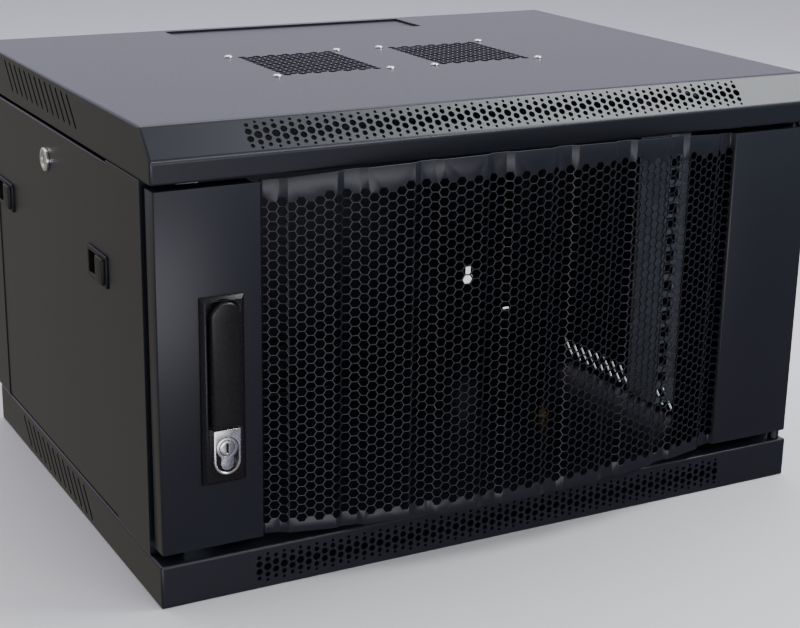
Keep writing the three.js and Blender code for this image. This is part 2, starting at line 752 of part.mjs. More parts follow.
function leverPin() {
  return rodAcross(PIVOT_Y, PIVOT_Z, LEVER_PIN_RADIUS, HANDLE_X - 9, HANDLE_X + 9, 12);
}

function swivelShaft() {
  const [x0, x1] = [HANDLE_X - LEVER_EYE_HALF_WIDTH, HANDLE_X + LEVER_EYE_HALF_WIDTH];
  const radius = LEVER_EYE_RADIUS;
  const eye = rodAcross(PIVOT_Y, PIVOT_Z, radius, x0, x1, 16);
  const neck = box(x0, x1, PIVOT_Y, PLATE_FACE + 1, PIVOT_Z - radius, PIVOT_Z + radius);
  const body = rodBack(HANDLE_X, PIVOT_Z, SHAFT_RADIUS, PLATE_FACE, FRONT + 23, 20);
  const spigot = rodBack(HANDLE_X, PIVOT_Z, SPIGOT_RADIUS, FRONT + 22, FRONT + 36, 12);
  const eyeHole = rodAcross(PIVOT_Y, PIVOT_Z, LEVER_PIN_RADIUS + GAP, x0 - PAST, x1 + PAST, 12);
  return without(joined(eye, neck, body, spigot), eyeHole);
}

// The cam points at the column. Its tip is tapered, so that its corners stay clear as it turns.
function latchCam() {
  const tip = -SIDE + COLUMN_FACE + TONGUE_CLEARANCE;
  const shoulder = tip + CAM_TIP_SLOPE;
  const outline = polygon([
    [tip, PIVOT_Z + CAM_TIP_HALF_WIDTH],
    [tip, PIVOT_Z - CAM_TIP_HALF_WIDTH],
    [shoulder, PIVOT_Z - CAM_HALF_WIDTH],
    [HANDLE_X, PIVOT_Z - CAM_HALF_WIDTH],
    [HANDLE_X, PIVOT_Z + CAM_HALF_WIDTH],
    [shoulder, PIVOT_Z + CAM_HALF_WIDTH],
  ]);
  const arm = extrudeBack(outline, CAM_Y, CAM_Y + CAM_THICK);
  const boss = rodBack(HANDLE_X, PIVOT_Z, CAM_HALF_WIDTH + 1, CAM_Y, CAM_Y + CAM_THICK, 20);
  const hole = rodBack(HANDLE_X, PIVOT_Z, SPIGOT_RADIUS + GAP, CAM_Y - PAST, CAM_Y + CAM_THICK + PAST, 12);
  return without(joined(arm, boss), hole);
}

function camNut() {
  const y = CAM_Y + CAM_THICK + GAP;
  const nut = rodBack(HANDLE_X, PIVOT_Z, 7.5, y, y + 5, 6);
  return without(nut, rodBack(HANDLE_X, PIVOT_Z, SPIGOT_RADIUS + GAP, y - PAST, y + 5 + PAST, 12));
}

function lockHousing() {
  const back = PLATE_FACE - GAP;
  const front = back - LOCK_THICK;
  const bottom = LOCK_Z - 21;
  const wellWidth = LOCK_WIDTH - 2 * LOCK_RIM;
  const wellOutline = tongueOutline(HANDLE_X, LOCK_Z, bottom + LOCK_RIM, wellWidth);
  const whole = extrudeBack(tongueOutline(HANDLE_X, LOCK_TOP, bottom, LOCK_WIDTH), front, back);
  const well = extrudeBack(wellOutline, front - PAST, back + PAST);
  const headWell = rodBack(HANDLE_X, LOCK_Z, wellWidth / 2, front - PAST, back + PAST, 24);
  return without(whole, well, headWell);
}

function profileCylinder() {
  const front = PLATE_FACE - GAP - LOCK_THICK + 0.7;
  const back = FRONT + 13;
  const head = rodBack(HANDLE_X, LOCK_Z, LOCK_HEAD_RADIUS, front, back, 24);
  const tail = extrudeBack(tongueOutline(HANDLE_X, LOCK_Z, LOCK_Z - 17.5, 10), front, back);
  const bore = rodBack(HANDLE_X, LOCK_Z, LOCK_PLUG_RADIUS + GAP, front - PAST, back + PAST, 20);
  return without(joined(head, tail), bore);
}

function lockPlug() {
  const front = PLATE_FACE - GAP - LOCK_THICK + 0.4;
  const plug = rodBack(HANDLE_X, LOCK_Z, LOCK_PLUG_RADIUS, front, FRONT + 12, 20);
  const [halfX, halfZ] = [KEYWAY_HALF_WIDTH, KEYWAY_HALF_HEIGHT];
  const [y0, y1] = [front - PAST, front + KEYWAY_DEPTH];
  const keyway = box(HANDLE_X - halfX, HANDLE_X + halfX, y0, y1, LOCK_Z - halfZ, LOCK_Z + halfZ);
  return without(plug, keyway);
}

// ---------------------------------------------------------------- side panels, drawn on the right

function latchWindow(y) {
  const edge = 3;
  const z0 = LATCH_Z - LATCH_HEIGHT / 2 + edge;
  const z1 = LATCH_Z + LATCH_HEIGHT / 2 - edge;
  return box(PANEL_FACE - SHEET - PAST, PANEL_FACE + PAST, y + edge, y + LATCH_LENGTH - edge, z0, z1);
}

function sidePanel() {
  const y0 = PANEL_FRONT_Y + 0.5;
  const y1 = PANEL_BACK_Y - 0.5;
  const block = box(SIDE - PANEL_RETURN, PANEL_FACE, y0, y1, PANEL_BOTTOM, PANEL_TOP);
  const hollow = box(
    SIDE - PANEL_RETURN - PAST,
    PANEL_FACE - SHEET,
    y0 + SHEET,
    y1 - SHEET,
    PANEL_BOTTOM + SHEET,
    PANEL_TOP - SHEET,
  );
  const skin = [PANEL_FACE - SHEET - PAST, PANEL_FACE + PAST];
  const lockHole = rodAcross(SIDE_LOCK_Y, SIDE_LOCK_Z, SIDE_LOCK_BARREL_RADIUS + 0.5, ...skin, 20);
  return without(block, hollow, lockHole, latchWindow(LATCH_FRONT_Y), latchWindow(LATCH_REAR_Y));
}

function sideLockBody() {
  const barrel = rodAcross(SIDE_LOCK_Y, SIDE_LOCK_Z, SIDE_LOCK_BARREL_RADIUS, SIDE - 15, PANEL_FACE + 1, 20);
  const face = rodAcross(SIDE_LOCK_Y, SIDE_LOCK_Z, SIDE_LOCK_RADIUS, PANEL_FACE + GAP, PANEL_FACE + 2.8, 24);
  const bore = rodAcross(SIDE_LOCK_Y, SIDE_LOCK_Z, LOCK_PLUG_RADIUS + GAP, SIDE - 15 - PAST, SIDE + 5, 20);
  return without(joined(barrel, face), bore);
}

function sideLockPlug() {
  const front = PANEL_FACE + 2.2;
  const plug = rodAcross(SIDE_LOCK_Y, SIDE_LOCK_Z, LOCK_PLUG_RADIUS, SIDE - SIDE_LOCK_DEPTH, front, 20);
  const [y0, y1] = [SIDE_LOCK_Y - KEYWAY_HALF_WIDTH, SIDE_LOCK_Y + KEYWAY_HALF_WIDTH];
  const [z0, z1] = [SIDE_LOCK_Z - KEYWAY_HALF_HEIGHT, SIDE_LOCK_Z + KEYWAY_HALF_HEIGHT];
  const keyway = box(front - KEYWAY_DEPTH, front + PAST, y0, y1, z0, z1);
  const spigot = rodAcross(SIDE_LOCK_Y, SIDE_LOCK_Z, 3, SIDE - 21, SIDE - 16, 12);
  return without(joined(plug, spigot), keyway);
}

function sideLockCam() {
  const x1 = SIDE - SIDE_LOCK_DEPTH - GAP;
  const x0 = x1 - 2;
  const arm = box(x0, x1, SIDE_LOCK_Y - 7, SIDE_LOCK_Y + 7, SIDE_LOCK_Z, PANEL_TOP - SHEET - 1);
  const boss = rodAcross(SIDE_LOCK_Y, SIDE_LOCK_Z, SIDE_LOCK_BARREL_RADIUS, x0, x1, 20);
  const hole = rodAcross(SIDE_LOCK_Y, SIDE_LOCK_Z, 3 + GAP, x0 - PAST, x1 + PAST, 12);
  return without(joined(arm, boss), hole);
}

// A latch's bezel and box. The finger pocket is towards the back, and the grip slides in front of it.
function latchFrame(y) {
  const z0 = LATCH_Z - LATCH_HEIGHT / 2;
  const z1 = LATCH_Z + LATCH_HEIGHT / 2;
  const wall = 3 + GAP;
  const pocketEnd = y + LATCH_LENGTH - wall - SHEET;
  const bezel = box(PANEL_FACE + GAP, LATCH_FACE, y, y + LATCH_LENGTH, z0, z1);
  const shell = box(LATCH_BACK, PANEL_FACE + 1, y + wall, y + LATCH_LENGTH - wall, z0 + wall, z1 - wall);
  const half = POCKET_HEIGHT / 2;
  const pocket = box(
    LATCH_BACK + SHEET,
    LATCH_FACE + PAST,
    pocketEnd - POCKET_LENGTH,
    pocketEnd,
    LATCH_Z - half,
    LATCH_Z + half,
  );
  const track = box(LATCH_BACK - PAST, LATCH_FACE + PAST, y + 5.5, y + 20, LATCH_Z - 4, LATCH_Z + 4);
  return without(joined(bezel, shell), pocket, track);
}

// A latch's sliding grip, with its stem and its sprung tongue. The tongue points forwards or backwards.
function latchSlider(y, forwards) {
  const stemFrom = forwards ? y + 6.5 : y + 14.5;
  const grip = box(
    LATCH_FACE + GAP,
    LATCH_FACE + 2.6,
    y + GRIP_GAP,
    y + GRIP_GAP + GRIP_LENGTH,
    LATCH_Z - 10.5,
    LATCH_Z + 10.5,
  );
  const stem = box(LATCH_BACK - 3, LATCH_FACE + 1, stemFrom, stemFrom + 5, LATCH_Z - 3.5, LATCH_Z + 3.5);
  const tongueInset = SHEET + TONGUE_CLEARANCE + 0.5;
  const tongueFrom = forwards ? PANEL_FRONT_Y + tongueInset : stemFrom;
  const tongueTo = forwards ? stemFrom + 5 : PANEL_BACK_Y - tongueInset;
  const tongue = box(LATCH_BACK - 3, LATCH_BACK - GAP, tongueFrom, tongueTo, LATCH_Z - 6, LATCH_Z + 6);
  return joined(grip, stem, tongue);
}

// ---------------------------------------------------------------- the whole cabinet

place("base_tray", baseTray(), BLACK_PAINT);
place("lid", lid(), BLACK_PAINT);
placeBothSides("front_column", frontColumn(), BLACK_PAINT);
placeBothSides("rear_column", rearColumn(), BLACK_PAINT);
place("rear_panel", rearPanel(), BLACK_PAINT);
place("lid_cable_plate", cablePlate(HEIGHT - 2 * SHEET - GAP), BLACK_PAINT);
place("base_cable_plate", cablePlate(SHEET + GAP), BLACK_PAINT);
placeBothSides("depth_bracket_low", depthBracket(BRACKET_LOW_Z), BLACK_PAINT);
placeBothSides("depth_bracket_high", depthBracket(BRACKET_HIGH_Z), BLACK_PAINT);
placeBothSides("rack_rail", rackRail(), ZINC);
place("earth_stud", earthStud(), BRASS);
place("hinge_pin_low", lowHingePin(), ZINC);
place("hinge_pin_high", highHingePin(), ZINC);

place("fan_frame_left", fanFrame(-FAN_X), FAN_PLASTIC);
place("fan_frame_right", fanFrame(FAN_X), FAN_PLASTIC);
place("fan_rotor_left", fanRotor(-FAN_X), FAN_PLASTIC);
place("fan_rotor_right", fanRotor(FAN_X), FAN_PLASTIC);
fanScrewPlaces().forEach((spot, index) => place("fan_screw_" + (index + 1), fanScrew(spot), CHROME));

place("door_sheet", doorSheet(), BLACK_PAINT);
placeBothSides("door_stiffener", doorStiffener(), BLACK_PAINT);
place("handle_plate", handlePlate(), BLACK_PLASTIC);
place("handle_lever", handleLever(), BLACK_PLASTIC);
place("lever_pin", leverPin(), ZINC);
place("swivel_shaft", swivelShaft(), ZINC);
place("latch_cam", latchCam(), ZINC);
place("cam_nut", camNut(), ZINC);
place("lock_housing", lockHousing(), CHROME);
place("lock_cylinder", profileCylinder(), CHROME);
place("lock_plug", lockPlug(), CHROME);

placeBothSides("side_panel", sidePanel(), BLACK_PAINT);
placeBothSides("side_lock_body", sideLockBody(), CHROME);
placeBothSides("side_lock_plug", sideLockPlug(), CHROME);
placeBothSides("side_lock_cam", sideLockCam(), ZINC);
placeBothSides("latch_frame_front", latchFrame(LATCH_FRONT_Y), BLACK_PLASTIC);
placeBothSides("latch_frame_rear", latchFrame(LATCH_REAR_Y), BLACK_PLASTIC);
placeBothSides("latch_slider_front", latchSlider(LATCH_FRONT_Y, true), BLACK_PLASTIC);
placeBothSides("latch_slider_rear", latchSlider(LATCH_REAR_Y, false), BLACK_PLASTIC);

export default cabinet;
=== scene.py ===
"""The looks of a six-unit network rack cabinet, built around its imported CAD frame.

Metres, +Z up. The door faces -Y, and left and right are as seen by someone who faces it, so right is +X.
"""

import math

import bmesh
import bpy
from mathutils import Matrix, Vector
from mathutils.geometry import delaunay_2d_cdt


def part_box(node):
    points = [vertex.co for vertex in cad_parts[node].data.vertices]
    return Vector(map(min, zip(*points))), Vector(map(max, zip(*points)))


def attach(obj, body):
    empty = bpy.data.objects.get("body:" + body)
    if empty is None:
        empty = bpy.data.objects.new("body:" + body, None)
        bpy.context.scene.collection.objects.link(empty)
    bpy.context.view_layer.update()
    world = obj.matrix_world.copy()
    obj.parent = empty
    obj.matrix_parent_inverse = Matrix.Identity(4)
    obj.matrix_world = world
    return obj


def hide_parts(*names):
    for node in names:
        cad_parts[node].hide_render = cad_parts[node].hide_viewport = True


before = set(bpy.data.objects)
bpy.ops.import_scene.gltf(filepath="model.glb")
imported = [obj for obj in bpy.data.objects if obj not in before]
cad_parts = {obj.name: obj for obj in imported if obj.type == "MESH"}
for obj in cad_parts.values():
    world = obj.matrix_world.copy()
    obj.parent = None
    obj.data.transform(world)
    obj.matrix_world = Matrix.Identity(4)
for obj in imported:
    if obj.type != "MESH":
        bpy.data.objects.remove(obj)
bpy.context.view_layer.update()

# ---------------------------------------------------------------- driving dimensions

MM = 0.001

# Sheet metal.
SHEET = 1.5 * MM
FOLD_RADIUS = 1.6 * MM
FOLD_GUARD = 2.4 * MM
FOLD_STEPS = 3
HOLE_RIM = 0.35 * MM
RIM_ANGLE = 60
CAP_INSET = 0.2 * MM
CDT_TOLERANCE = 1e-7
MERGE_DISTANCE = 0.001 * MM
TRAY_LEDGE = 14 * MM
BASE_FRONT_LEDGE = 24 * MM
LIP_LEDGE = 15 * MM
BEVEL_DEPTH = 21 * MM
BEVEL_DROP = 22 * MM

# Slanted ventilation slots in the lid's skirts and the base's walls.
SLOT_COUNT = 13
SLOT_PITCH = 14.8 * MM
SLOT_WIDTH = 3 * MM
SLOT_RISE = 22 * MM
SLOT_RUN = 21 * MM
SLOT_FIRST = 167 * MM
SLOT_BASE_Z = 6.5 * MM
SLOT_LID_Z = 339 * MM

# Bands of round holes along the bevel and the base's front: columns of five holes and of four in turn.
BAND_LEFT = -220 * MM
BAND_COLUMNS = 64
BAND_PITCH = 7 * MM
BAND_FOUR = ((-8.8 * MM, 3.4 * MM), (-3.2 * MM, 5.4 * MM), (3.2 * MM, 5.4 * MM), (8.8 * MM, 3.4 * MM))
BAND_FIVE = (
    (-11 * MM, 2.5 * MM),
    (-6.4 * MM, 4.4 * MM),
    (0, 6.4 * MM),
    (6.4 * MM, 4.4 * MM),
    (11 * MM, 2.5 * MM),
)
BAND_HOLE_SIDES = 12

# Hexagonal perforation.
HEX_WEB = 1.1 * MM
GRILLE_PITCH = 8 * MM
GRILLE_COLUMN_PITCH = GRILLE_PITCH * math.sqrt(3) / 2
MESH_PITCH = 7.4 * MM
MESH_COLUMN_PITCH = 7.1 * MM
MESH_BOTTOM = 52 * MM
MESH_TOP = 311 * MM
GRILLE_COLUMNS = 13
GRILLE_ROWS = 13

# The door: its middle is corrugated and bows outwards, and its top edge rises with the bow.
MESH_HALF_WIDTH = 216.5 * MM
GROOVE_COUNT = 8
GROOVE_WIDTH = 12 * MM
GROOVE_DEPTH = 5.5 * MM
GROOVE_FLANK = 0.45 * GROOVE_WIDTH
RIB_DEPTH = 2.7 * MM
MARGIN_STEP = 3 * MM
MARGIN_CAP = 4 * MM
BOW_DEPTH = 30 * MM
BOW_RISE = 10.5 * MM
DOOR_LIP = 10 * MM
DOOR_FOLD_RADIUS = 1.8 * MM
CORRUGATION_RADIUS = 1.2 * MM
STATION_SLACK = 1e-9

# Cable openings at the back.
CABLE_OVERLAP = 3 * MM

# The swing handle and the door lock.
PLATE_BEVEL = 3 * MM
PLATE_EDGE = 0.35 * MM
DISH_MARGIN = 1 * MM
DISH_DEPTH = 1.4 * MM
PIVOT_Z = 228 * MM
PIVOT_Y = -233.3 * MM
LEVER_EDGE = 2.2 * MM
LEVER_CROWN = 0.4 * MM
LEVER_CROWN_SHARES = (0.75, 0.5, 0.25, 0.08)
LEVER_EDGE_STEPS = 6
LEVER_RELIEF = 0.8 * MM
LEVER_BACK_EDGE = 0.5 * MM
LOCK_Z = 126 * MM
LOCK_RIM = 1.8 * MM
LOCK_HEAD_RADIUS = 8.5 * MM
LOCK_TAIL_RADIUS = 5 * MM
LOCK_PLUG_RADIUS = 6 * MM
LOCK_BORE_RADIUS = 6.3 * MM
KEYWAY_WIDTH = 1.8 * MM
KEYWAY_HEIGHT = 8 * MM
KEYWAY_DEPTH = 5 * MM
KEYWAY_RADIUS = 0.4 * MM
KEYWAY_LIP = 0.2 * MM
PLUG_EDGE = 0.4 * MM
HOUSING_EDGE = 0.7 * MM
HOUSING_LIP = 0.5 * MM
CYLINDER_EDGE = 0.3 * MM
CYLINDER_LIP = 0.2 * MM
ROUND_SIDES = 40

# Latches and locks in the side panels.
LATCH_WALL = 3.3 * MM
LATCH_BEZEL = 1.6 * MM
POCKET_LENGTH = 20 * MM
POCKET_HEIGHT = 18 * MM
POCKET_FLOOR = 1.5 * MM
POCKET_RADIUS = 1.2 * MM
BEZEL_RADIUS = 1.8 * MM
BEZEL_LIP = 0.5 * MM
BEZEL_EDGE = 0.6 * MM
SHELL_RADIUS = 1 * MM
HAIR = 0.05 * MM
TRACK_START = 5.5 * MM
TRACK_END = 20 * MM
TRACK_HEIGHT = 8 * MM
TRACK_WALL = 0.8 * MM
GRIP_START = 3 * MM
GRIP_LENGTH = 17 * MM
GRIP_THICK = 2.3 * MM
GRIP_RADIUS = 1.2 * MM
GRIP_EDGE = 1 * MM
STEM_START = {"front": 6.5 * MM, "rear": 14.5 * MM}
STEM_LENGTH = 5 * MM
STEM_HEIGHT = 7 * MM
TONGUE_THICK = 2.7 * MM
TONGUE_HEIGHT = 12 * MM
TONGUE_EDGE = 0.4 * MM
SIDE_LOCK_BARREL_RADIUS = 8 * MM
SIDE_LOCK_FLANGE = 2.5 * MM
SIDE_LOCK_HOLE = 8.5 * MM
SIDE_SPIGOT_RADIUS = 3 * MM
SIDE_SPIGOT_LENGTH = 4 * MM
FLANGE_EDGE = 0.9 * MM
FLANGE_LIP = 0.4 * MM
BARREL_EDGE = 0.2 * MM
BARREL_LIP = 0.1 * MM
PANEL_FOLD_RADIUS = 1.2 * MM
LATCH_WINDOW_EDGE = 3 * MM

# Cross-recessed pan-head screws.
SCREW_HEAD_RADIUS = 3.7 * MM
SCREW_HEAD_RISE = 2.2 * MM
SCREW_SHANK_RADIUS = 1.7 * MM
RECESS_REACH = 1.9 * MM
RECESS_WIDTH = 0.8 * MM
RECESS_DEPTH = 1.3 * MM
RECESS_TAPER = 0.7
DOME_DROP = 0.12
DOME_EDGE_DROP = 0.55
SCREW_RIM_SHARE = 0.93
SCREW_UNDERSIDE_SHARE = 0.97
SCREW_SIDE_SHARE = 0.2
SCREW_GUIDE_SHARES = (0.6, 0.75, 0.85)
SCREW_SIDES = 24
SCREW_COUNT = 8
SCREW_TURN = 37

# ---------------------------------------------------------------- outlines


def rectangle(u0, u1, v0, v1):
    return [Vector((u0, v0)), Vector((u1, v0)), Vector((u1, v1)), Vector((u0, v1))]


def arc(u, v, radius, start, end, steps):
    """Points on an arc, both ends included. Angles are in degrees."""
    angles = [math.radians(start + (end - start) * step / steps) for step in range(steps + 1)]
    return [Vector((u + radius * math.cos(angle), v + radius * math.sin(angle))) for angle in angles]


def ring(u, v, radius, sides, first=0):
    return arc(u, v, radius, first, first + 360, sides)[:-1]


def rounded_rectangle(u0, u1, v0, v1, radius, steps=4):
    corners = [(u1 - radius, v0 + radius, -90), (u1 - radius, v1 - radius, 0)]
    corners += [(u0 + radius, v1 - radius, 90), (u0 + radius, v0 + radius, 180)]
    return [point for u, v, start in corners for point in arc(u, v, radius, start, start + 90, steps)]


def arch(u, bottom, centre, radius, steps=24):
    """A flat bottom, straight sides and a round top."""
    foot = [Vector((u - radius, bottom)), Vector((u + radius, bottom))]
    return foot + arc(u, centre, radius, 0, 180, steps)


def tongue(u, bottom, top, radius, steps=24):
    """A round bottom, straight sides and a flat top."""
    head = [Vector((u + radius, top)), Vector((u - radius, top))]
    return arc(u, bottom + radius, radius, 180, 360, steps) + head


def stadium(start, end, width, steps=4):
    """A slot with round ends from one point to another."""
    angle = math.degrees(math.atan2(end.y - start.y, end.x - start.x))
    far = arc(end.x, end.y, width / 2, angle - 90, angle + 90, steps)
    return far + arc(start.x, start.y, width / 2, angle + 90, angle + 270, steps)


def cross(u, v, reach, width):
    """A plus sign."""
    half = width / 2
    quarter = [(reach, -half), (reach, half), (half, half)]
    turns = [Matrix.Rotation(math.radians(90 * turn), 2) for turn in range(4)]
    return [Vector((u, v)) + turn @ Vector(point) for turn in turns for point in quarter]


def inset(loop, distance):
    """An anticlockwise outline moved inwards, with mitred corners. A negative distance moves it outwards."""
    moved = []
    for before, here, after in zip(loop[-1:] + loop[:-1], loop, loop[1:] + loop[:1]):
        first = (here - before).orthogonal().normalized()
        second = (after - here).orthogonal().normalized()
        moved.append(here + (first + second) * (distance / (1 + first.dot(second))))
    return moved


# ---------------------------------------------------------------- places in space
# Each one turns an outline's point and a depth into the metal into a point in the row frame.


def facing_front(y):
    return lambda u, v, depth=0: Vector((u, y + depth, v))


def facing_back(y):
    return lambda u, v, depth=0: Vector((u, y - depth, v))


def facing_up(z):
    return lambda u, v, depth=0: Vector((u, v, z - depth))


def facing_side(side, x):
    return lambda u, v, depth=0: Vector((side * (x - depth), u, v))


# ---------------------------------------------------------------- measures of the CAD nodes


def middle_of(node):
    low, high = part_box(node)
    return (low + high) / 2


def outer_face(node, side):
    low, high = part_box(node)
    return max(side * low.x, side * high.x)


def inner_face(node, side):
    low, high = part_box(node)
    return min(side * low.x, side * high.x)


# ---------------------------------------------------------------- mesh building


def add_panel(bm, outline, holes, to_space, guides=()):
    """A flat panel with holes in it. Guides are lines that the triangles must follow."""
    points = [point.copy() for point in outline]
    faces = [list(range(len(points)))]
    edges = []
    for hole in holes:
        faces.append(list(range(len(points), len(points) + len(hole))))
        points.extend(hole)
    for line in guides:
        start = len(points)
        points.extend(line)
        edges.extend((start + step, start + step + 1) for step in range(len(line) - 1))
    made, _, triangles, _, _, origins = delaunay_2d_cdt(points, edges, faces, 1, CDT_TOLERANCE)
    corners = {}
    for triangle, origin in zip(triangles, origins):
        if list(origin) != [0]:
            continue
        for index in triangle:
            if index not in corners:
                corners[index] = bm.verts.new(to_space(*made[index]))
        bm.faces.new([corners[index] for index in triangle])


def add_folding_panel(bm, outline, holes, to_space):
    """A panel of a folded sheet: a guard line keeps the holes' triangles away from its edges."""
    guard = inset(outline, FOLD_GUARD)
    add_panel(bm, outline, holes, to_space, [guard + guard[:1]])


def loft(bm, loops, cap_first=True, cap_last=True):
    """Rings of quads between loops that have the same number of points."""
    rings = [[bm.verts.new(point) for point in loop] for loop in loops]
    for one, two in zip(rings, rings[1:]):
        for index in range(len(one)):
            follower = (index + 1) % len(one)
            bm.faces.new((one[index], one[follower], two[follower], two[index]))
    if cap_first:
        bm.faces.new(rings[0][::-1])
    if cap_last:
        bm.faces.new(rings[-1])


def carve(bm, outline, to_space, thickness, chamfer, pockets=(), steps=2):
    """A block with a rounded front edge.

    A pocket is (outline, depth, lip width), and a depth of 0 means right through.
    """
    curve = [math.radians(90 * step / steps) for step in range(steps + 1)]
    edge = [(chamfer * (1 - math.cos(angle)), chamfer * (1 - math.sin(angle))) for angle in curve]
    back = [to_space(u, v, thickness) for u, v in outline]
    front = [[to_space(u, v, depth) for u, v in inset(outline, sideways)] for sideways, depth in edge]
    loft(bm, [back, *front], cap_first=not pockets, cap_last=False)
    mouths = [inset(pocket, -lip) for pocket, _, lip in pockets]
    add_panel(bm, inset(outline, chamfer), mouths, to_space)
    through = []
    for (pocket, depth, lip), mouth in zip(pockets, mouths):
        rim = [[to_space(u, v) for u, v in mouth], [to_space(u, v, lip) for u, v in pocket]]
        floor = [to_space(u, v, depth or thickness) for u, v in pocket]
        loft(bm, [*rim, floor], cap_first=False, cap_last=bool(depth))
        if not depth:
            through.append(pocket)
    if pockets:
        add_panel(bm, outline, through, lambda u, v: to_space(u, v, thickness))


def tidy(bm):
    bmesh.ops.remove_doubles(bm, verts=bm.verts, dist=MERGE_DISTANCE)
    bmesh.ops.recalc_face_normals(bm, faces=bm.faces)


def round_folds(bm, radius, least_angle=20):
    """Rounds the edges at which two panels meet."""
    limit = math.radians(least_angle)
    folds = [edge for edge in bm.edges if len(edge.link_faces) == 2 and edge.calc_face_angle() > limit]
    bmesh.ops.bevel(
        bm,
        geom=folds,
        offset=radius,
        offset_type="OFFSET",
        segments=FOLD_STEPS,
        profile=0.5,
        affect="EDGES",
        clamp_overlap=False,
    )


def thickened(mesh, thickness, rim):
    """The mesh as a sheet of that thickness, whose outer face stays where it is, with softened rims."""
    scratch = bpy.data.objects.new("scratch", mesh)
    bpy.context.scene.collection.objects.link(scratch)
    solidify = scratch.modifiers.new("thickness", "SOLIDIFY")
    solidify.thickness = thickness
    solidify.offset = -1
    solidify.use_even_offset = True
    if rim:
        soften = scratch.modifiers.new("rims", "BEVEL")
        soften.width = rim
        soften.segments = 2
        soften.limit_method = "ANGLE"
        soften.angle_limit = math.radians(RIM_ANGLE)
        soften.use_clamp_overlap = False
    depsgraph = bpy.context.evaluated_depsgraph_get()
    result = bpy.data.meshes.new_from_object(scratch.evaluated_get(depsgraph))
    bpy.data.objects.remove(scratch)
    bpy.data.meshes.remove(mesh)
    return result


def make_piece(name, bm, slot, body, replaces=(), thickness=0, rim=0, smooth_angle=35, material=None):
    """An object from a finished bmesh, riding on its body.

    A thickness makes a sheet of it. Its material has the slot's name unless another one is given.
    """
    mesh = bpy.data.meshes.new(name + "_mesh")
    bm.to_mesh(mesh)
    bm.free()
    if thickness:
        mesh = thickened(mesh, thickness, rim)
    mesh.shade_smooth()
    mesh.set_sharp_from_angle(angle=math.radians(smooth_angle))
    piece = bpy.data.objects.new(name, mesh)
    bpy.context.scene.collection.objects.link(piece)
    mesh.materials.clear()
    mesh.materials.append(MATERIALS[material or slot])
    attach(piece, body)
    if replaces:
        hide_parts(*replaces)


# ---------------------------------------------------------------- materials


# The noise values between which a surface goes from its lowest roughness to its highest.
RELIEF_LOW = 0.3
RELIEF_HIGH = 0.7
# How large the slow drift of the tone is, per metre.
DRIFT_SCALE = 9


def add_node(tree, kind, inputs, **settings):
    """A shader node. Its inputs are numbers, colours or other nodes' outputs."""
    made = tree.nodes.new("ShaderNode" + kind)
    for key, value in settings.items():
        setattr(made, key, value)
    for socket, value in inputs.items():
        if isinstance(value, bpy.types.NodeSocket):
            tree.links.new(value, made.inputs[socket])
        else:
            made.inputs[socket].default_value = value
    return made


def shaded(color, factor):
    return (*(channel * factor for channel in color), 1)


def surface(name, color, roughness, grain, bump, metallic=0.0, variation=0.15, stretch=(1, 1, 1), **sockets):
    """A material whose tone and gloss drift slightly, with fine relief.

    roughness is (lowest, highest), grain is the relief's scale per metre, and bump its height in metres.
    """
    material = bpy.data.materials.new(name)
    material.use_nodes = True
    tree = material.node_tree
    shader = tree.nodes["Principled BSDF"]
    place = add_node(tree, "TexCoord", {}).outputs["Object"]
    stretched = add_node(tree, "Mapping", {"Vector": place, "Scale": stretch}).outputs["Vector"]
    relief = add_node(tree, "TexNoise", {"Vector": stretched, "Scale": grain, "Detail": 3, "Roughness": 0.55})
    drift = add_node(tree, "TexNoise", {"Vector": place, "Scale": DRIFT_SCALE, "Detail": 4, "Roughness": 0.6})
    speckle = add_node(tree, "TexNoise", {"Vector": place, "Scale": grain / 3, "Detail": 2})
    tone = add_node(
        tree,
        "Mix",
        {0: drift.outputs["Fac"], 6: shaded(color, 1 - variation), 7: shaded(color, 1 + variation)},
        data_type="RGBA",
    )
    flecked = add_node(
        tree,
        "Mix",
        {0: speckle.outputs["Fac"], 6: tone.outputs[2], 7: shaded(color, 1 + 2 * variation)},
        data_type="RGBA",
    )
    gloss = add_node(
        tree,
        "MapRange",
        {
            "Value": relief.outputs["Fac"],
            "From Min": RELIEF_LOW,
            "From Max": RELIEF_HIGH,
            "To Min": roughness[0],
            "To Max": roughness[1],
        },
    )
    height = add_node(tree, "Bump", {"Height": relief.outputs["Fac"], "Distance": bump, "Strength": 1.0})
    tree.links.new(flecked.outputs[2], shader.inputs["Base Color"])
    tree.links.new(gloss.outputs["Result"], shader.inputs["Roughness"])
    tree.links.new(height.outputs["Normal"], shader.inputs["Normal"])
    shader.inputs["Metallic"].default_value = metallic
    for socket, value in sockets.items():
        shader.inputs[socket.replace("_", " ")].default_value = value
    return material


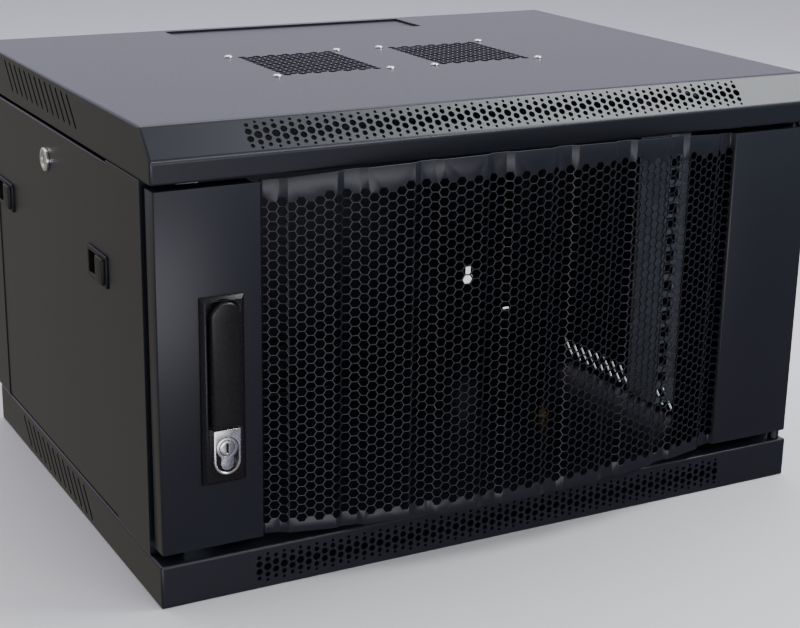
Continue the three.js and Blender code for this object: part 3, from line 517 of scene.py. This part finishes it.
# Each surface's colour, its lowest and highest roughness, and the scale and height of its relief.
MATERIALS = {
    "black_paint": surface(
        "black_paint", (0.010, 0.011, 0.015), (0.28, 0.38), 1500, 0.00002, Specular_IOR_Level=0.5
    ),
    "zinc_plate": surface(
        "zinc_plate", (0.52, 0.57, 0.66), (0.42, 0.56), 260, 0.00001, metallic=0.55, stretch=(6, 6, 1)
    ),
    "brass": surface("brass", (0.60, 0.40, 0.13), (0.25, 0.40), 500, 0.00001, metallic=1.0),
    "fan_plastic": surface("fan_plastic", (0.012, 0.012, 0.013), (0.48, 0.62), 1100, 0.00003),
    "bright_screw": surface(
        "bright_screw", (0.75, 0.76, 0.76), (0.14, 0.24), 700, 0.000004, metallic=1.0, variation=0.05
    ),
    "handle_plastic": surface(
        "handle_plastic", (0.007, 0.006, 0.006), (0.24, 0.34), 500, 0.000003, Specular_IOR_Level=0.4
    ),
    "satin_plastic": surface(
        "satin_plastic", (0.009, 0.009, 0.009), (0.36, 0.46), 900, 0.00001, Specular_IOR_Level=0.35
    ),
    "chrome": surface(
        "chrome", (0.86, 0.84, 0.80), (0.20, 0.32), 420, 0.000005, metallic=1.0, variation=0.05
    ),
}

# The latches' plastic is duller than the handle's, and shares its slot.
LATCH_MATERIAL = "satin_plastic"

# ---------------------------------------------------------------- hole patterns


def hexagon(u, v, column_pitch, pitch):
    """A hexagon with a flat top and bottom, with half a web left around it."""
    radius = column_pitch / 1.5
    rise = pitch / (radius * math.sqrt(3))
    hole = ring(0, 0, radius - HEX_WEB / math.sqrt(3), 6)
    return [Vector((u + du, v + dv * rise)) for du, dv in hole]


def grille(centre):
    """A fan's block of hexagons. Every second column is one hole shorter."""
    holes = []
    for column in range(GRILLE_COLUMNS):
        u = centre.x + (column - (GRILLE_COLUMNS - 1) / 2) * GRILLE_COLUMN_PITCH
        count = GRILLE_ROWS - column % 2
        for row in range(count):
            v = centre.y + (row - (count - 1) / 2) * GRILLE_PITCH
            holes.append(hexagon(u, v, GRILLE_COLUMN_PITCH, GRILLE_PITCH))
    return holes


def band(centre_v):
    """The tapering band of round holes."""
    holes = []
    for column in range(BAND_COLUMNS):
        u = BAND_LEFT + column * BAND_PITCH
        for offset, diameter in BAND_FIVE if column % 2 else BAND_FOUR:
            holes.append(ring(u, centre_v + offset, diameter / 2, BAND_HOLE_SIDES))
    return holes


def slots(front, z):
    holes = []
    for index in range(SLOT_COUNT):
        start = Vector((front + SLOT_FIRST + index * SLOT_PITCH, z))
        holes.append(stadium(start, start + Vector((SLOT_RUN, SLOT_RISE)), SLOT_WIDTH))
    return holes


def cable_opening(plate):
    low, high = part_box(plate)
    return inset(rectangle(low.x, high.x, low.y, high.y), CABLE_OVERLAP)


# ---------------------------------------------------------------- lid, base and door


def fan_centres():
    return [middle_of(node) for node in ("fan_frame_left", "fan_frame_right")]


def build_lid():
    low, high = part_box("lid")
    bevel_low = high.z - BEVEL_DROP
    bevel_back = low.y + BEVEL_DEPTH
    slope = math.hypot(BEVEL_DROP, BEVEL_DEPTH)
    grilles = [hole for centre in fan_centres() for hole in grille(centre)]
    side_view = [(low.y, low.z), (high.y, low.z), (high.y, high.z), (bevel_back, high.z), (low.y, bevel_low)]
    side_outline = [Vector(point) for point in side_view]
    mouth = rectangle(low.x + TRAY_LEDGE, high.x - TRAY_LEDGE, low.y + LIP_LEDGE, high.y - TRAY_LEDGE)

    def on_bevel(u, v):
        return Vector((u, low.y + v * BEVEL_DEPTH / slope, bevel_low + v * BEVEL_DROP / slope))

    bm = bmesh.new()
    top_holes = [*grilles, cable_opening("lid_cable_plate")]
    add_folding_panel(bm, rectangle(low.x, high.x, bevel_back, high.y), top_holes, facing_up(high.z))
    add_folding_panel(bm, rectangle(low.x, high.x, 0, slope), band(slope / 2), on_bevel)
    add_folding_panel(bm, rectangle(low.x, high.x, low.z, bevel_low), [], facing_front(low.y))
    add_folding_panel(bm, rectangle(low.x, high.x, low.z, high.z), [], facing_back(high.y))
    add_folding_panel(bm, rectangle(low.x, high.x, low.y, high.y), [mouth], facing_up(low.z))
    for side in (-1, 1):
        add_folding_panel(bm, side_outline, slots(low.y, SLOT_LID_Z), facing_side(side, high.x))
    tidy(bm)
    round_folds(bm, FOLD_RADIUS)
    make_piece("lid_shell", bm, "black_paint", "cabinet", ["lid"], SHEET)


def build_base():
    low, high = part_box("base_tray")
    mouth = rectangle(low.x + TRAY_LEDGE, high.x - TRAY_LEDGE, low.y + BASE_FRONT_LEDGE, high.y - TRAY_LEDGE)
    wall = rectangle(low.x, high.x, low.z, high.z)
    floor = rectangle(low.x, high.x, low.y, high.y)
    bm = bmesh.new()
    add_folding_panel(bm, wall, band((low.z + high.z) / 2), facing_front(low.y))
    add_folding_panel(bm, wall, [], facing_back(high.y))
    add_folding_panel(bm, floor, [mouth], facing_up(high.z))
    add_folding_panel(bm, floor, [cable_opening("base_cable_plate")], facing_up(low.z))
    for side in (-1, 1):
        side_wall = rectangle(low.y, high.y, low.z, high.z)
        add_folding_panel(bm, side_wall, slots(low.y, SLOT_BASE_Z), facing_side(side, high.x))
    tidy(bm)
    round_folds(bm, FOLD_RADIUS)
    make_piece("base_shell", bm, "black_paint", "cabinet", ["base_tray"], SHEET)


def bow_at(x):
    """How far the door bows at x, from 0 at the corrugation's ends to 1 in the middle."""
    return max(0, 1 - (x / MESH_HALF_WIDTH) ** 2)


def door_path(low, high, face):
    """The door's outer face from its left return round to its right one, as (x, y, fold radius)."""
    ribs = GROOVE_COUNT - 1
    span = 2 * (MESH_HALF_WIDTH - MARGIN_STEP)
    rib_width = (span - GROOVE_COUNT * GROOVE_WIDTH - 2 * ribs * GROOVE_FLANK) / ribs
    left = [
        (low.x + DOOR_LIP, high.y, 0),
        (low.x, high.y, DOOR_FOLD_RADIUS),
        (low.x, face, DOOR_FOLD_RADIUS),
        (-MESH_HALF_WIDTH, face, CORRUGATION_RADIUS),
    ]
    folds = []
    x = -MESH_HALF_WIDTH + MARGIN_STEP
    for groove in range(GROOVE_COUNT):
        folds += [(x, GROOVE_DEPTH), (x + GROOVE_WIDTH, GROOVE_DEPTH)]
        x += GROOVE_WIDTH
        if groove < ribs:
            x += GROOVE_FLANK
            folds += [(x, RIB_DEPTH), (x + rib_width, RIB_DEPTH)]
            x += rib_width + GROOVE_FLANK
    corrugation = [(x, face + depth - BOW_DEPTH * bow_at(x), CORRUGATION_RADIUS) for x, depth in folds]
    right = [(-x, y, radius) for x, y, radius in reversed(left)]
    return left + corrugation + right


def rounded_path(path, steps=FOLD_STEPS):
    """The path as points, with an arc at each fold."""
    points = [Vector(path[0][:2])]
    for before, here, after in zip(path, path[1:], path[2:]):
        corner = Vector(here[:2])
        towards = (Vector(before[:2]) - corner).normalized()
        onwards = (Vector(after[:2]) - corner).normalized()
        half = math.acos(towards.dot(onwards)) / 2
        centre = corner + (towards + onwards).normalized() * (here[2] / math.sin(half))
        start = corner + towards * (here[2] / math.tan(half)) - centre
        end = corner + onwards * (here[2] / math.tan(half)) - centre
        turn = start.angle_signed(end)
        for step in range(steps + 1):
            points.append(centre + Matrix.Rotation(-turn * step / steps, 2) @ start)
    points.append(Vector(path[-1][:2]))
    return points


def build_door():
    low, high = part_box("door_sheet")
    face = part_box("base_tray")[0].y
    margin_top = high.z - BOW_RISE
    path = rounded_path(door_path(low, high, face))
    stations = [0.0]
    for before, here in zip(path, path[1:]):
        stations.append(stations[-1] + (here - before).length)
    length = stations[-1]

    def place_at(u):
        last = len(stations) - 1
        index = next((i for i in range(1, last) if stations[i] >= u - STATION_SLACK), last)
        share = (u - stations[index - 1]) / (stations[index] - stations[index - 1])
        return path[index - 1].lerp(path[index], share)

    def on_door(u, v):
        x, y = place_at(u)
        return Vector((x, y, v))

    is_mesh = [abs(point.x) < MESH_HALF_WIDTH + MM for point in path]
    margin = stations[is_mesh.index(True)]
    columns = int((length - 2 * margin) / MESH_COLUMN_PITCH)
    holes = []
    for column in range(columns):
        u = length / 2 + (column - (columns - 1) / 2) * MESH_COLUMN_PITCH
        rise = BOW_RISE * bow_at(place_at(u).x)
        first = MESH_BOTTOM + MESH_PITCH * (0.5 + 0.5 * (column % 2))
        for row in range(int((MESH_TOP + rise - first) / MESH_PITCH + 0.5)):
            holes.append(hexagon(u, first + row * MESH_PITCH, MESH_COLUMN_PITCH, MESH_PITCH))
    bottom = [Vector((station, low.z)) for station in stations]
    tops = [margin_top + BOW_RISE * bow_at(point.x) for point in path]
    top = [Vector(point) for point in zip(stations, tops)]
    folds = [list(line) for line in zip(bottom[1:-1], top[1:-1])]
    bm = bmesh.new()
    add_panel(bm, bottom + top[::-1], holes, on_door, folds)
    tidy(bm)
    if sum(face.normal.y * face.calc_area() for face in bm.faces) > 0:
        bmesh.ops.reverse_faces(bm, faces=bm.faces)
    make_piece("door_mesh", bm, "black_paint", "door", ["door_sheet"], SHEET, rim=HOLE_RIM)

    inner = MESH_HALF_WIDTH + MARGIN_CAP
    bm = bmesh.new()
    for x0, x1 in ((low.x + SHEET, -inner), (inner, high.x - SHEET)):
        closing = rectangle(x0, x1, face + SHEET, high.y)
        for z in (low.z + SHEET + CAP_INSET, margin_top - CAP_INSET):
            carve(bm, closing, facing_up(z), SHEET, CAP_INSET, steps=1)
    tidy(bm)
    make_piece("door_end_caps", bm, "black_paint", "door")


# ---------------------------------------------------------------- swing handle and door lock


def build_handle_plate():
    low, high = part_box("handle_plate")
    lever_low, lever_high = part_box("handle_lever")
    x = middle_of("handle_lever").x
    outline = rectangle(low.x, high.x, low.z, high.z)
    face = inset(outline, PLATE_BEVEL)
    dish = arch(x, lever_low.z - DISH_MARGIN, PIVOT_Z, lever_high.x - x + DISH_MARGIN)
    bm = bmesh.new()
    edges = [(outline, high.y), (outline, low.y + PLATE_BEVEL), (face, low.y)]
    loft(bm, [[Vector((u, y, v)) for u, v in loop] for loop, y in edges], cap_last=False)
    add_panel(bm, face, [dish], facing_front(low.y))
    walls = [[Vector((u, y, v)) for u, v in dish] for y in (low.y, low.y + DISH_DEPTH)]
    loft(bm, walls, cap_first=False)
    tidy(bm)
    round_folds(bm, PLATE_EDGE)
    make_piece("handle_plate_moulding", bm, "handle_plastic", "door", ["handle_plate"])


def build_handle_lever():
    """A bar with a crowned face and a round top. Above the pivot its back slopes, so that it can lift."""
    low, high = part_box("handle_lever")
    x = middle_of("handle_lever").x
    half = high.x - x

    def back_of(z):
        share = max(0, (z - PIVOT_Z - MM) / (high.z - PIVOT_Z - MM))
        return high.y + share * (PIVOT_Y - LEVER_RELIEF - high.y)

    def loop_at(distance, y_of):
        points = arch(x, low.z + distance, PIVOT_Z, half - distance)
        return [Vector((u, y_of(v), v)) for u, v in points]

    loops = [loop_at(LEVER_BACK_EDGE, back_of), loop_at(0, lambda z: back_of(z) - LEVER_BACK_EDGE)]
    for step in range(LEVER_EDGE_STEPS + 1):
        angle = math.radians(90 * step / LEVER_EDGE_STEPS)
        sink = LEVER_EDGE * (1 - math.sin(angle)) + LEVER_CROWN
        loops.append(loop_at(LEVER_EDGE * (1 - math.cos(angle)), lambda z, sink=sink: low.y + sink))
    for share in LEVER_CROWN_SHARES:
        sink = LEVER_CROWN * share ** 2
        distance = LEVER_EDGE + (half - LEVER_EDGE) * (1 - share)
        loops.append(loop_at(distance, lambda z, sink=sink: low.y + sink))
    bm = bmesh.new()
    loft(bm, loops)
    tidy(bm)
    make_piece("handle_lever_bar", bm, "handle_plastic", "handle_lever", ["handle_lever"], smooth_angle=50)


def build_door_lock():
    low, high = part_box("lock_housing")
    x = middle_of("lock_housing").x
    radius = high.x - x
    well_radius = radius - LOCK_RIM
    well = stadium(Vector((x, LOCK_Z)), Vector((x, low.z + radius)), 2 * well_radius, 16)
    bm = bmesh.new()
    shell = tongue(x, low.z, high.z, radius)
    carve(bm, shell, facing_front(low.y), high.y - low.y, HOUSING_EDGE, [(well, 0, HOUSING_LIP)], 3)
    tidy(bm)
    make_piece("lock_housing_casting", bm, "chrome", "door", ["lock_housing"])

    low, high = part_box("lock_cylinder")
    angle = math.degrees(math.acos(LOCK_TAIL_RADIUS / LOCK_HEAD_RADIUS))
    head = arc(x, LOCK_Z, LOCK_HEAD_RADIUS, -angle, 180 + angle, 36)
    tail = arc(x, low.z + LOCK_TAIL_RADIUS, LOCK_TAIL_RADIUS, 180, 360, 16)
    bore = ring(x, LOCK_Z, LOCK_BORE_RADIUS, ROUND_SIDES)
    bm = bmesh.new()
    carve(bm, head + tail, facing_front(low.y), high.y - low.y, CYLINDER_EDGE, [(bore, 0, CYLINDER_LIP)])
    tidy(bm)
    make_piece("lock_cylinder_body", bm, "chrome", "door", ["lock_cylinder"])

    low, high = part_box("lock_plug")
    length = high.y - low.y
    build_plug("lock_plug_face", "door_lock_plug", "lock_plug", facing_front(low.y), (x, LOCK_Z), length)


def build_plug(name, body, node, to_space, centre, length):
    """A lock's turning plug with its keyway."""
    u, v = centre
    half_width = KEYWAY_WIDTH / 2
    half_height = KEYWAY_HEIGHT / 2
    sides = (u - half_width, u + half_width, v - half_height, v + half_height)
    keyway = rounded_rectangle(*sides, KEYWAY_RADIUS, 2)
    face = ring(u, v, LOCK_PLUG_RADIUS, ROUND_SIDES)
    bm = bmesh.new()
    carve(bm, face, to_space, length, PLUG_EDGE, [(keyway, KEYWAY_DEPTH, KEYWAY_LIP)])
    tidy(bm)
    make_piece(name, bm, "chrome", body, [node])


# ---------------------------------------------------------------- side panels, their locks and latches


def side_of(name):
    return -1 if name.endswith("left") else 1


def build_side_panel(side_name):
    side = side_of(side_name)
    node = "side_panel_" + side_name
    low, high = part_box(node)
    face = outer_face(node, side)
    back = inner_face(node, side)
    lock = middle_of("side_lock_body_" + side_name)
    holes = [ring(lock.y, lock.z, SIDE_LOCK_HOLE, 32)]
    for place in ("front", "rear"):
        latch_low, latch_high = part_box(f"latch_frame_{place}_{side_name}")
        frame_outline = rectangle(latch_low.y, latch_high.y, latch_low.z, latch_high.z)
        holes.append(inset(frame_outline, LATCH_WINDOW_EDGE))
    bm = bmesh.new()
    add_folding_panel(bm, rectangle(low.y, high.y, low.z, high.z), holes, facing_side(side, face))
    for z in (low.z, high.z):
        add_panel(bm, rectangle(low.y, high.y, back, face), [], lambda u, v, z=z: Vector((side * v, u, z)))
    for y in (low.y, high.y):
        add_panel(bm, rectangle(back, face, low.z, high.z), [], lambda u, v, y=y: Vector((side * u, y, v)))
    tidy(bm)
    round_folds(bm, PANEL_FOLD_RADIUS)
    make_piece(f"side_cover_{side_name}", bm, "black_paint", node, [node], SHEET)


def build_side_lock(side_name):
    side = side_of(side_name)
    node = "side_lock_body_" + side_name
    face = outer_face(node, side)
    centre = middle_of(node).yz
    to_space = facing_side(side, face)
    bore = ring(*centre, LOCK_BORE_RADIUS, ROUND_SIDES)
    flange = ring(*centre, (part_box(node)[1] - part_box(node)[0]).z / 2, 48)
    bm = bmesh.new()
    carve(bm, flange, to_space, SIDE_LOCK_FLANGE, FLANGE_EDGE, [(bore, 0, FLANGE_LIP)], 4)
    barrel = ring(*centre, SIDE_LOCK_BARREL_RADIUS, ROUND_SIDES)
    behind = facing_side(side, face - SIDE_LOCK_FLANGE)
    length = face - SIDE_LOCK_FLANGE - inner_face(node, side)
    carve(bm, barrel, behind, length, BARREL_EDGE, [(bore, 0, BARREL_LIP)])
    tidy(bm)
    make_piece(f"side_lock_flange_{side_name}", bm, "chrome", "side_panel_" + side_name, [node])
    plug = "side_lock_plug_" + side_name
    front = outer_face(plug, side)
    length = front - inner_face(plug, side) - SIDE_SPIGOT_LENGTH
    body = "side_lock_" + side_name
    build_plug(f"side_plug_face_{side_name}", body, plug, facing_side(side, front), centre, length)
    bm = bmesh.new()
    spigot = facing_side(side, front - length)
    carve(bm, ring(*centre, SIDE_SPIGOT_RADIUS, 24), spigot, SIDE_SPIGOT_LENGTH, BARREL_EDGE)
    tidy(bm)
    make_piece(f"side_plug_spigot_{side_name}", bm, "chrome", body)


def build_latch_frame(place, side_name):
    """A latch's bezel and box, with the finger pocket and the track that the grip's stem slides in."""
    side = side_of(side_name)
    node = f"latch_frame_{place}_{side_name}"
    low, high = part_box(node)
    face = outer_face(node, side)
    z = (low.z + high.z) / 2
    end = high.y - LATCH_WALL - POCKET_FLOOR
    start = end - POCKET_LENGTH
    half = POCKET_HEIGHT / 2
    pocket = rounded_rectangle(start, end, z - half, z + half, POCKET_RADIUS, 3)
    track_end = min(low.y + TRACK_END, start - TRACK_WALL)
    track = rectangle(low.y + TRACK_START, track_end, z - TRACK_HEIGHT / 2, z + TRACK_HEIGHT / 2)
    bezel = rounded_rectangle(low.y, high.y, low.z, high.z, BEZEL_RADIUS)
    wall = LATCH_WALL
    shell = rounded_rectangle(low.y + wall, high.y - wall, low.z + wall, high.z - wall, SHELL_RADIUS)
    depth = face - inner_face(node, side) - LATCH_BEZEL
    bm = bmesh.new()
    mouths = [(pocket, 0, BEZEL_LIP), (track, 0, HAIR)]
    carve(bm, bezel, facing_side(side, face), LATCH_BEZEL, BEZEL_EDGE, mouths, 3)
    inside = [(pocket, depth - POCKET_FLOOR, HAIR), (track, 0, HAIR)]
    carve(bm, shell, facing_side(side, face - LATCH_BEZEL), depth, HAIR, inside, 1)
    tidy(bm)
    name = f"latch_bezel_{place}_{side_name}"
    body = "side_panel_" + side_name
    make_piece(name, bm, "handle_plastic", body, [node], material=LATCH_MATERIAL)


def build_latch_grip(place, side_name):
    """A latch's sliding grip, with its stem and its tongue."""
    side = side_of(side_name)
    frame_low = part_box(f"latch_frame_{place}_{side_name}")[0]
    face = outer_face(f"latch_frame_{place}_{side_name}", side)
    slider = f"latch_slider_{place}_{side_name}"
    low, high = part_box(slider)
    z = (low.z + high.z) / 2
    start = frame_low.y + GRIP_START
    grip = rounded_rectangle(start, start + GRIP_LENGTH, low.z, high.z, GRIP_RADIUS)
    stem_start = frame_low.y + STEM_START[place]
    stem_end = stem_start + STEM_LENGTH
    stem = rectangle(stem_start, stem_end, z - STEM_HEIGHT / 2, z + STEM_HEIGHT / 2)
    bolt_start = low.y if place == "front" else stem_start
    bolt_end = stem_end if place == "front" else high.y
    bolt = rectangle(bolt_start, bolt_end, z - TONGUE_HEIGHT / 2, z + TONGUE_HEIGHT / 2)
    back = inner_face(slider, side)
    bm = bmesh.new()
    carve(bm, grip, facing_side(side, outer_face(slider, side)), GRIP_THICK, GRIP_EDGE, steps=4)
    carve(bm, stem, facing_side(side, face), face - back, HAIR)
    carve(bm, bolt, facing_side(side, back + TONGUE_THICK), TONGUE_THICK, TONGUE_EDGE)
    tidy(bm)
    name = f"latch_grip_{place}_{side_name}"
    body = f"latch_{place}_{side_name}"
    make_piece(name, bm, "handle_plastic", body, [slider], material=LATCH_MATERIAL)


# ---------------------------------------------------------------- screws


def add_screw(bm, place, length):
    """A cross-recessed pan head on its shank. The place's Z axis points out of the metal."""

    def at(u, v, height):
        return place @ Vector((u, v, height))

    def dome(u, v):
        share = math.hypot(u, v) / SCREW_HEAD_RADIUS
        return at(u, v, SCREW_HEAD_RISE * (1 - DOME_EDGE_DROP * share ** 4 - DOME_DROP * share ** 2))

    rim = ring(0, 0, SCREW_HEAD_RADIUS * SCREW_RIM_SHARE, SCREW_SIDES)
    recess = cross(0, 0, RECESS_REACH, RECESS_WIDTH)
    guides = [ring(0, 0, SCREW_HEAD_RADIUS * share, SCREW_SIDES) for share in SCREW_GUIDE_SHARES]
    add_panel(bm, rim, [recess], dome, [guide + guide[:1] for guide in guides])
    bottom = SCREW_HEAD_RISE - RECESS_DEPTH
    floor = [at(u * RECESS_TAPER, v * RECESS_TAPER, bottom) for u, v in recess]
    loft(bm, [[dome(u, v) for u, v in recess], floor], cap_first=False)
    profile = [
        (SCREW_SHANK_RADIUS, -length),
        (SCREW_SHANK_RADIUS, 0),
        (SCREW_HEAD_RADIUS * SCREW_UNDERSIDE_SHARE, 0),
        (SCREW_HEAD_RADIUS, SCREW_HEAD_RISE * SCREW_SIDE_SHARE),
    ]
    loops = [[at(u, v, height) for u, v in ring(0, 0, radius, SCREW_SIDES)] for radius, height in profile]
    loft(bm, [*loops, [dome(u, v) for u, v in rim]], cap_last=False)


def build_fan_screws():
    for index in range(1, SCREW_COUNT + 1):
        node = f"fan_screw_{index}"
        low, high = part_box(node)
        centre = middle_of(node)
        seat = high.z - SCREW_HEAD_RISE
        bm = bmesh.new()
        turn = Matrix.Rotation(math.radians(SCREW_TURN * index), 4, "Z")
        add_screw(bm, Matrix.Translation((centre.x, centre.y, seat)) @ turn, seat - low.z)
        tidy(bm)
        make_piece(f"fan_screw_head_{index}", bm, "bright_screw", "cabinet", [node])


# ---------------------------------------------------------------- camera, light and floor

CAMERA_PLACE = Vector((-0.6855, -1.3139, 0.6036))
CAMERA_YAW = math.radians(28.25)
CAMERA_PITCH = math.radians(17.74)
CAMERA_ROLL = math.radians(0.99)
CAMERA_LENS = 75.66
CAMERA_CLIP_START = 0.05

FLOOR_HALF_SIZE = 15
FLOOR_COLOR = (0.80, 0.80, 0.80)

# What the room shows to each side, above the horizon and below it.
HIGH_LEFT = (0.30, 0.28, 0.23, 1)
HIGH_FRONT = (0.20, 0.24, 0.33, 1)
HIGH_BACK = (0.88, 0.85, 1.06, 1)
LOW_LEFT = (0.17, 0.18, 0.24, 1)
LOW_RIGHT = (0.10, 0.09, 0.13, 1)
LOW_BACK = (0.28, 0.265, 0.23, 1)
# A bright card low in front, towards the left.
CARD = (3.2, 3.1, 3.4, 1)
# Where the room's sides fade into each other, as parts of a direction along an axis.
BEHIND_FADE = (-0.4, 0.6)
HIGH_FADE = (-0.7, 0.5)
LOW_FADE = (0.3, 0.65)
HORIZON_FADE = (-0.08, 0.06)
CARD_FADES = (("X", 0.33, 0.17), ("Y", -0.5, -0.8), ("Z", -0.34, -0.24), ("Z", 0.1, 0))

# Name, place, target, width, height, power and colour.
SOFTBOXES = (
    ("overhead", (0, 0.7, 2.6), (0, 0.2, 0.2), 2.2, 1.6, 34, (1, 0.99, 0.98)),
    ("high_right", (1.35, -0.62, 1.9), (0.05, -0.2, 0.35), 1.0, 1.0, 34, (0.94, 0.98, 1)),
    ("front_strip", (0.7, -2.2, 1.7), (0, -0.2, 0.3), 2.0, 0.25, 26, (0.95, 0.97, 1)),
)


def build_camera():
    forward = Vector(
        (
            math.sin(CAMERA_YAW) * math.cos(CAMERA_PITCH),
            math.cos(CAMERA_YAW) * math.cos(CAMERA_PITCH),
            -math.sin(CAMERA_PITCH),
        )
    )
    level = Vector((math.cos(CAMERA_YAW), -math.sin(CAMERA_YAW), 0))
    upright = level.cross(forward)
    right = level * math.cos(CAMERA_ROLL) + upright * math.sin(CAMERA_ROLL)
    up = upright * math.cos(CAMERA_ROLL) - level * math.sin(CAMERA_ROLL)
    data = bpy.data.cameras.new("camera")
    data.lens = CAMERA_LENS
    data.clip_start = CAMERA_CLIP_START
    camera = bpy.data.objects.new("camera", data)
    camera.matrix_world = Matrix.LocRotScale(
        CAMERA_PLACE, Matrix((right, up, -forward)).transposed().to_quaternion(), None
    )
    bpy.context.scene.collection.objects.link(camera)
    bpy.context.scene.camera = camera


def add_softbox(name, place, target, width, height, power, color):
    data = bpy.data.lights.new(name, "AREA")
    data.shape = "RECTANGLE"
    data.size = width
    data.size_y = height
    data.energy = power
    data.color = color
    light = bpy.data.objects.new(name, data)
    light.location = place
    light.rotation_euler = (Vector(target) - Vector(place)).to_track_quat("-Z", "Y").to_euler()
    light.visible_camera = False
    bpy.context.scene.collection.objects.link(light)


def build_studio():
    bm = bmesh.new()
    bmesh.ops.create_grid(bm, x_segments=1, y_segments=1, size=FLOOR_HALF_SIZE)
    mesh = bpy.data.meshes.new("floor_mesh")
    bm.to_mesh(mesh)
    bm.free()
    floor = bpy.data.objects.new("floor", mesh)
    bpy.context.scene.collection.objects.link(floor)
    material = surface("studio_floor", FLOOR_COLOR, (0.6, 0.8), 60, 0.00001, variation=0.01)
    mesh.materials.append(material)
    floor.visible_glossy = False
    bpy.context.scene.world = studio_world()
    for softbox in SOFTBOXES:
        add_softbox(*softbox)


def studio_world():
    """A white backdrop for the camera. What lights the object is a room that differs from side to side."""
    world = bpy.data.worlds.new("studio")
    world.use_nodes = True
    tree = world.node_tree
    direction = add_node(tree, "TexCoord", {}).outputs["Generated"]
    axes = add_node(tree, "SeparateXYZ", {"Vector": direction})

    def share(axis, start, end):
        """0 where the direction's part along the axis is start, and 1 where it is end."""
        return add_node(
            tree,
            "MapRange",
            {"Value": axes.outputs[axis], "From Min": start, "From Max": end},
            interpolation_type="SMOOTHSTEP",
        ).outputs["Result"]

    def blend(factor, one, two):
        return add_node(tree, "Mix", {0: factor, 6: one, 7: two}, data_type="RGBA").outputs[2]

    def both(one, two):
        return add_node(tree, "Math", {0: one, 1: two}, operation="MULTIPLY").outputs[0]

    behind = share("Y", *BEHIND_FADE)
    high = blend(behind, blend(share("X", *HIGH_FADE), HIGH_LEFT, HIGH_FRONT), HIGH_BACK)
    low = blend(behind, blend(share("X", *LOW_FADE), LOW_LEFT, LOW_RIGHT), LOW_BACK)
    room = blend(share("Z", *HORIZON_FADE), low, high)
    card = 1.0
    for fade in CARD_FADES:
        card = both(card, share(*fade))
    lighting = add_node(tree, "Background", {"Color": blend(card, room, CARD), "Strength": 1.0})
    backdrop = add_node(tree, "Background", {"Color": (1, 1, 1, 1), "Strength": 1.0})
    seen = add_node(tree, "LightPath", {}).outputs["Is Camera Ray"]
    mixed = add_node(tree, "MixShader", {0: seen, 1: lighting.outputs[0], 2: backdrop.outputs[0]})
    tree.links.new(mixed.outputs[0], tree.nodes["World Output"].inputs["Surface"])
    return world


# ---------------------------------------------------------------- CAD pieces that keep their shape

CAD_WELD_DISTANCE = 0.01 * MM
CAD_EDGE = 0.4 * MM
CAD_EDGE_ANGLE = 40

# The slot of each CAD node that keeps its shape, by a part of the node's name.
KEPT_IN = {
    "black_paint": [
        "front_column",
        "rear_column",
        "rear_panel",
        "cable_plate",
        "depth_bracket",
        "door_stiffener",
        "hinge_pin",
    ],
    "zinc_plate": ["rack_rail", "lever_pin", "swivel_shaft", "latch_cam", "cam_nut", "side_lock_cam"],
    "brass": ["earth_stud"],
    "fan_plastic": ["fan_frame", "fan_rotor"],
}


def slot_of(name):
    """The slot of a CAD node that keeps its shape, or None."""
    for slot, stems in KEPT_IN.items():
        if any(stem in name for stem in stems):
            return slot
    return None


def finish_cad_nodes():
    """Materials and softened edges for the CAD nodes that stay in view."""
    for name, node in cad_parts.items():
        slot = slot_of(name)
        if slot is None or node.hide_render:
            continue
        node.data.materials.clear()
        node.data.materials.append(MATERIALS[slot])
        weld = node.modifiers.new("weld", "WELD")
        weld.merge_threshold = CAD_WELD_DISTANCE
        bevel = node.modifiers.new("soft_edges", "BEVEL")
        bevel.width = CAD_EDGE
        bevel.segments = 2
        bevel.limit_method = "ANGLE"
        bevel.angle_limit = math.radians(CAD_EDGE_ANGLE)


build_lid()
build_base()
build_door()
build_handle_plate()
build_handle_lever()
build_door_lock()
for side_name in ("left", "right"):
    build_side_panel(side_name)
    build_side_lock(side_name)
    for place in ("front", "rear"):
        build_latch_frame(place, side_name)
        build_latch_grip(place, side_name)
build_fan_screws()
finish_cad_nodes()
build_camera()
build_studio()
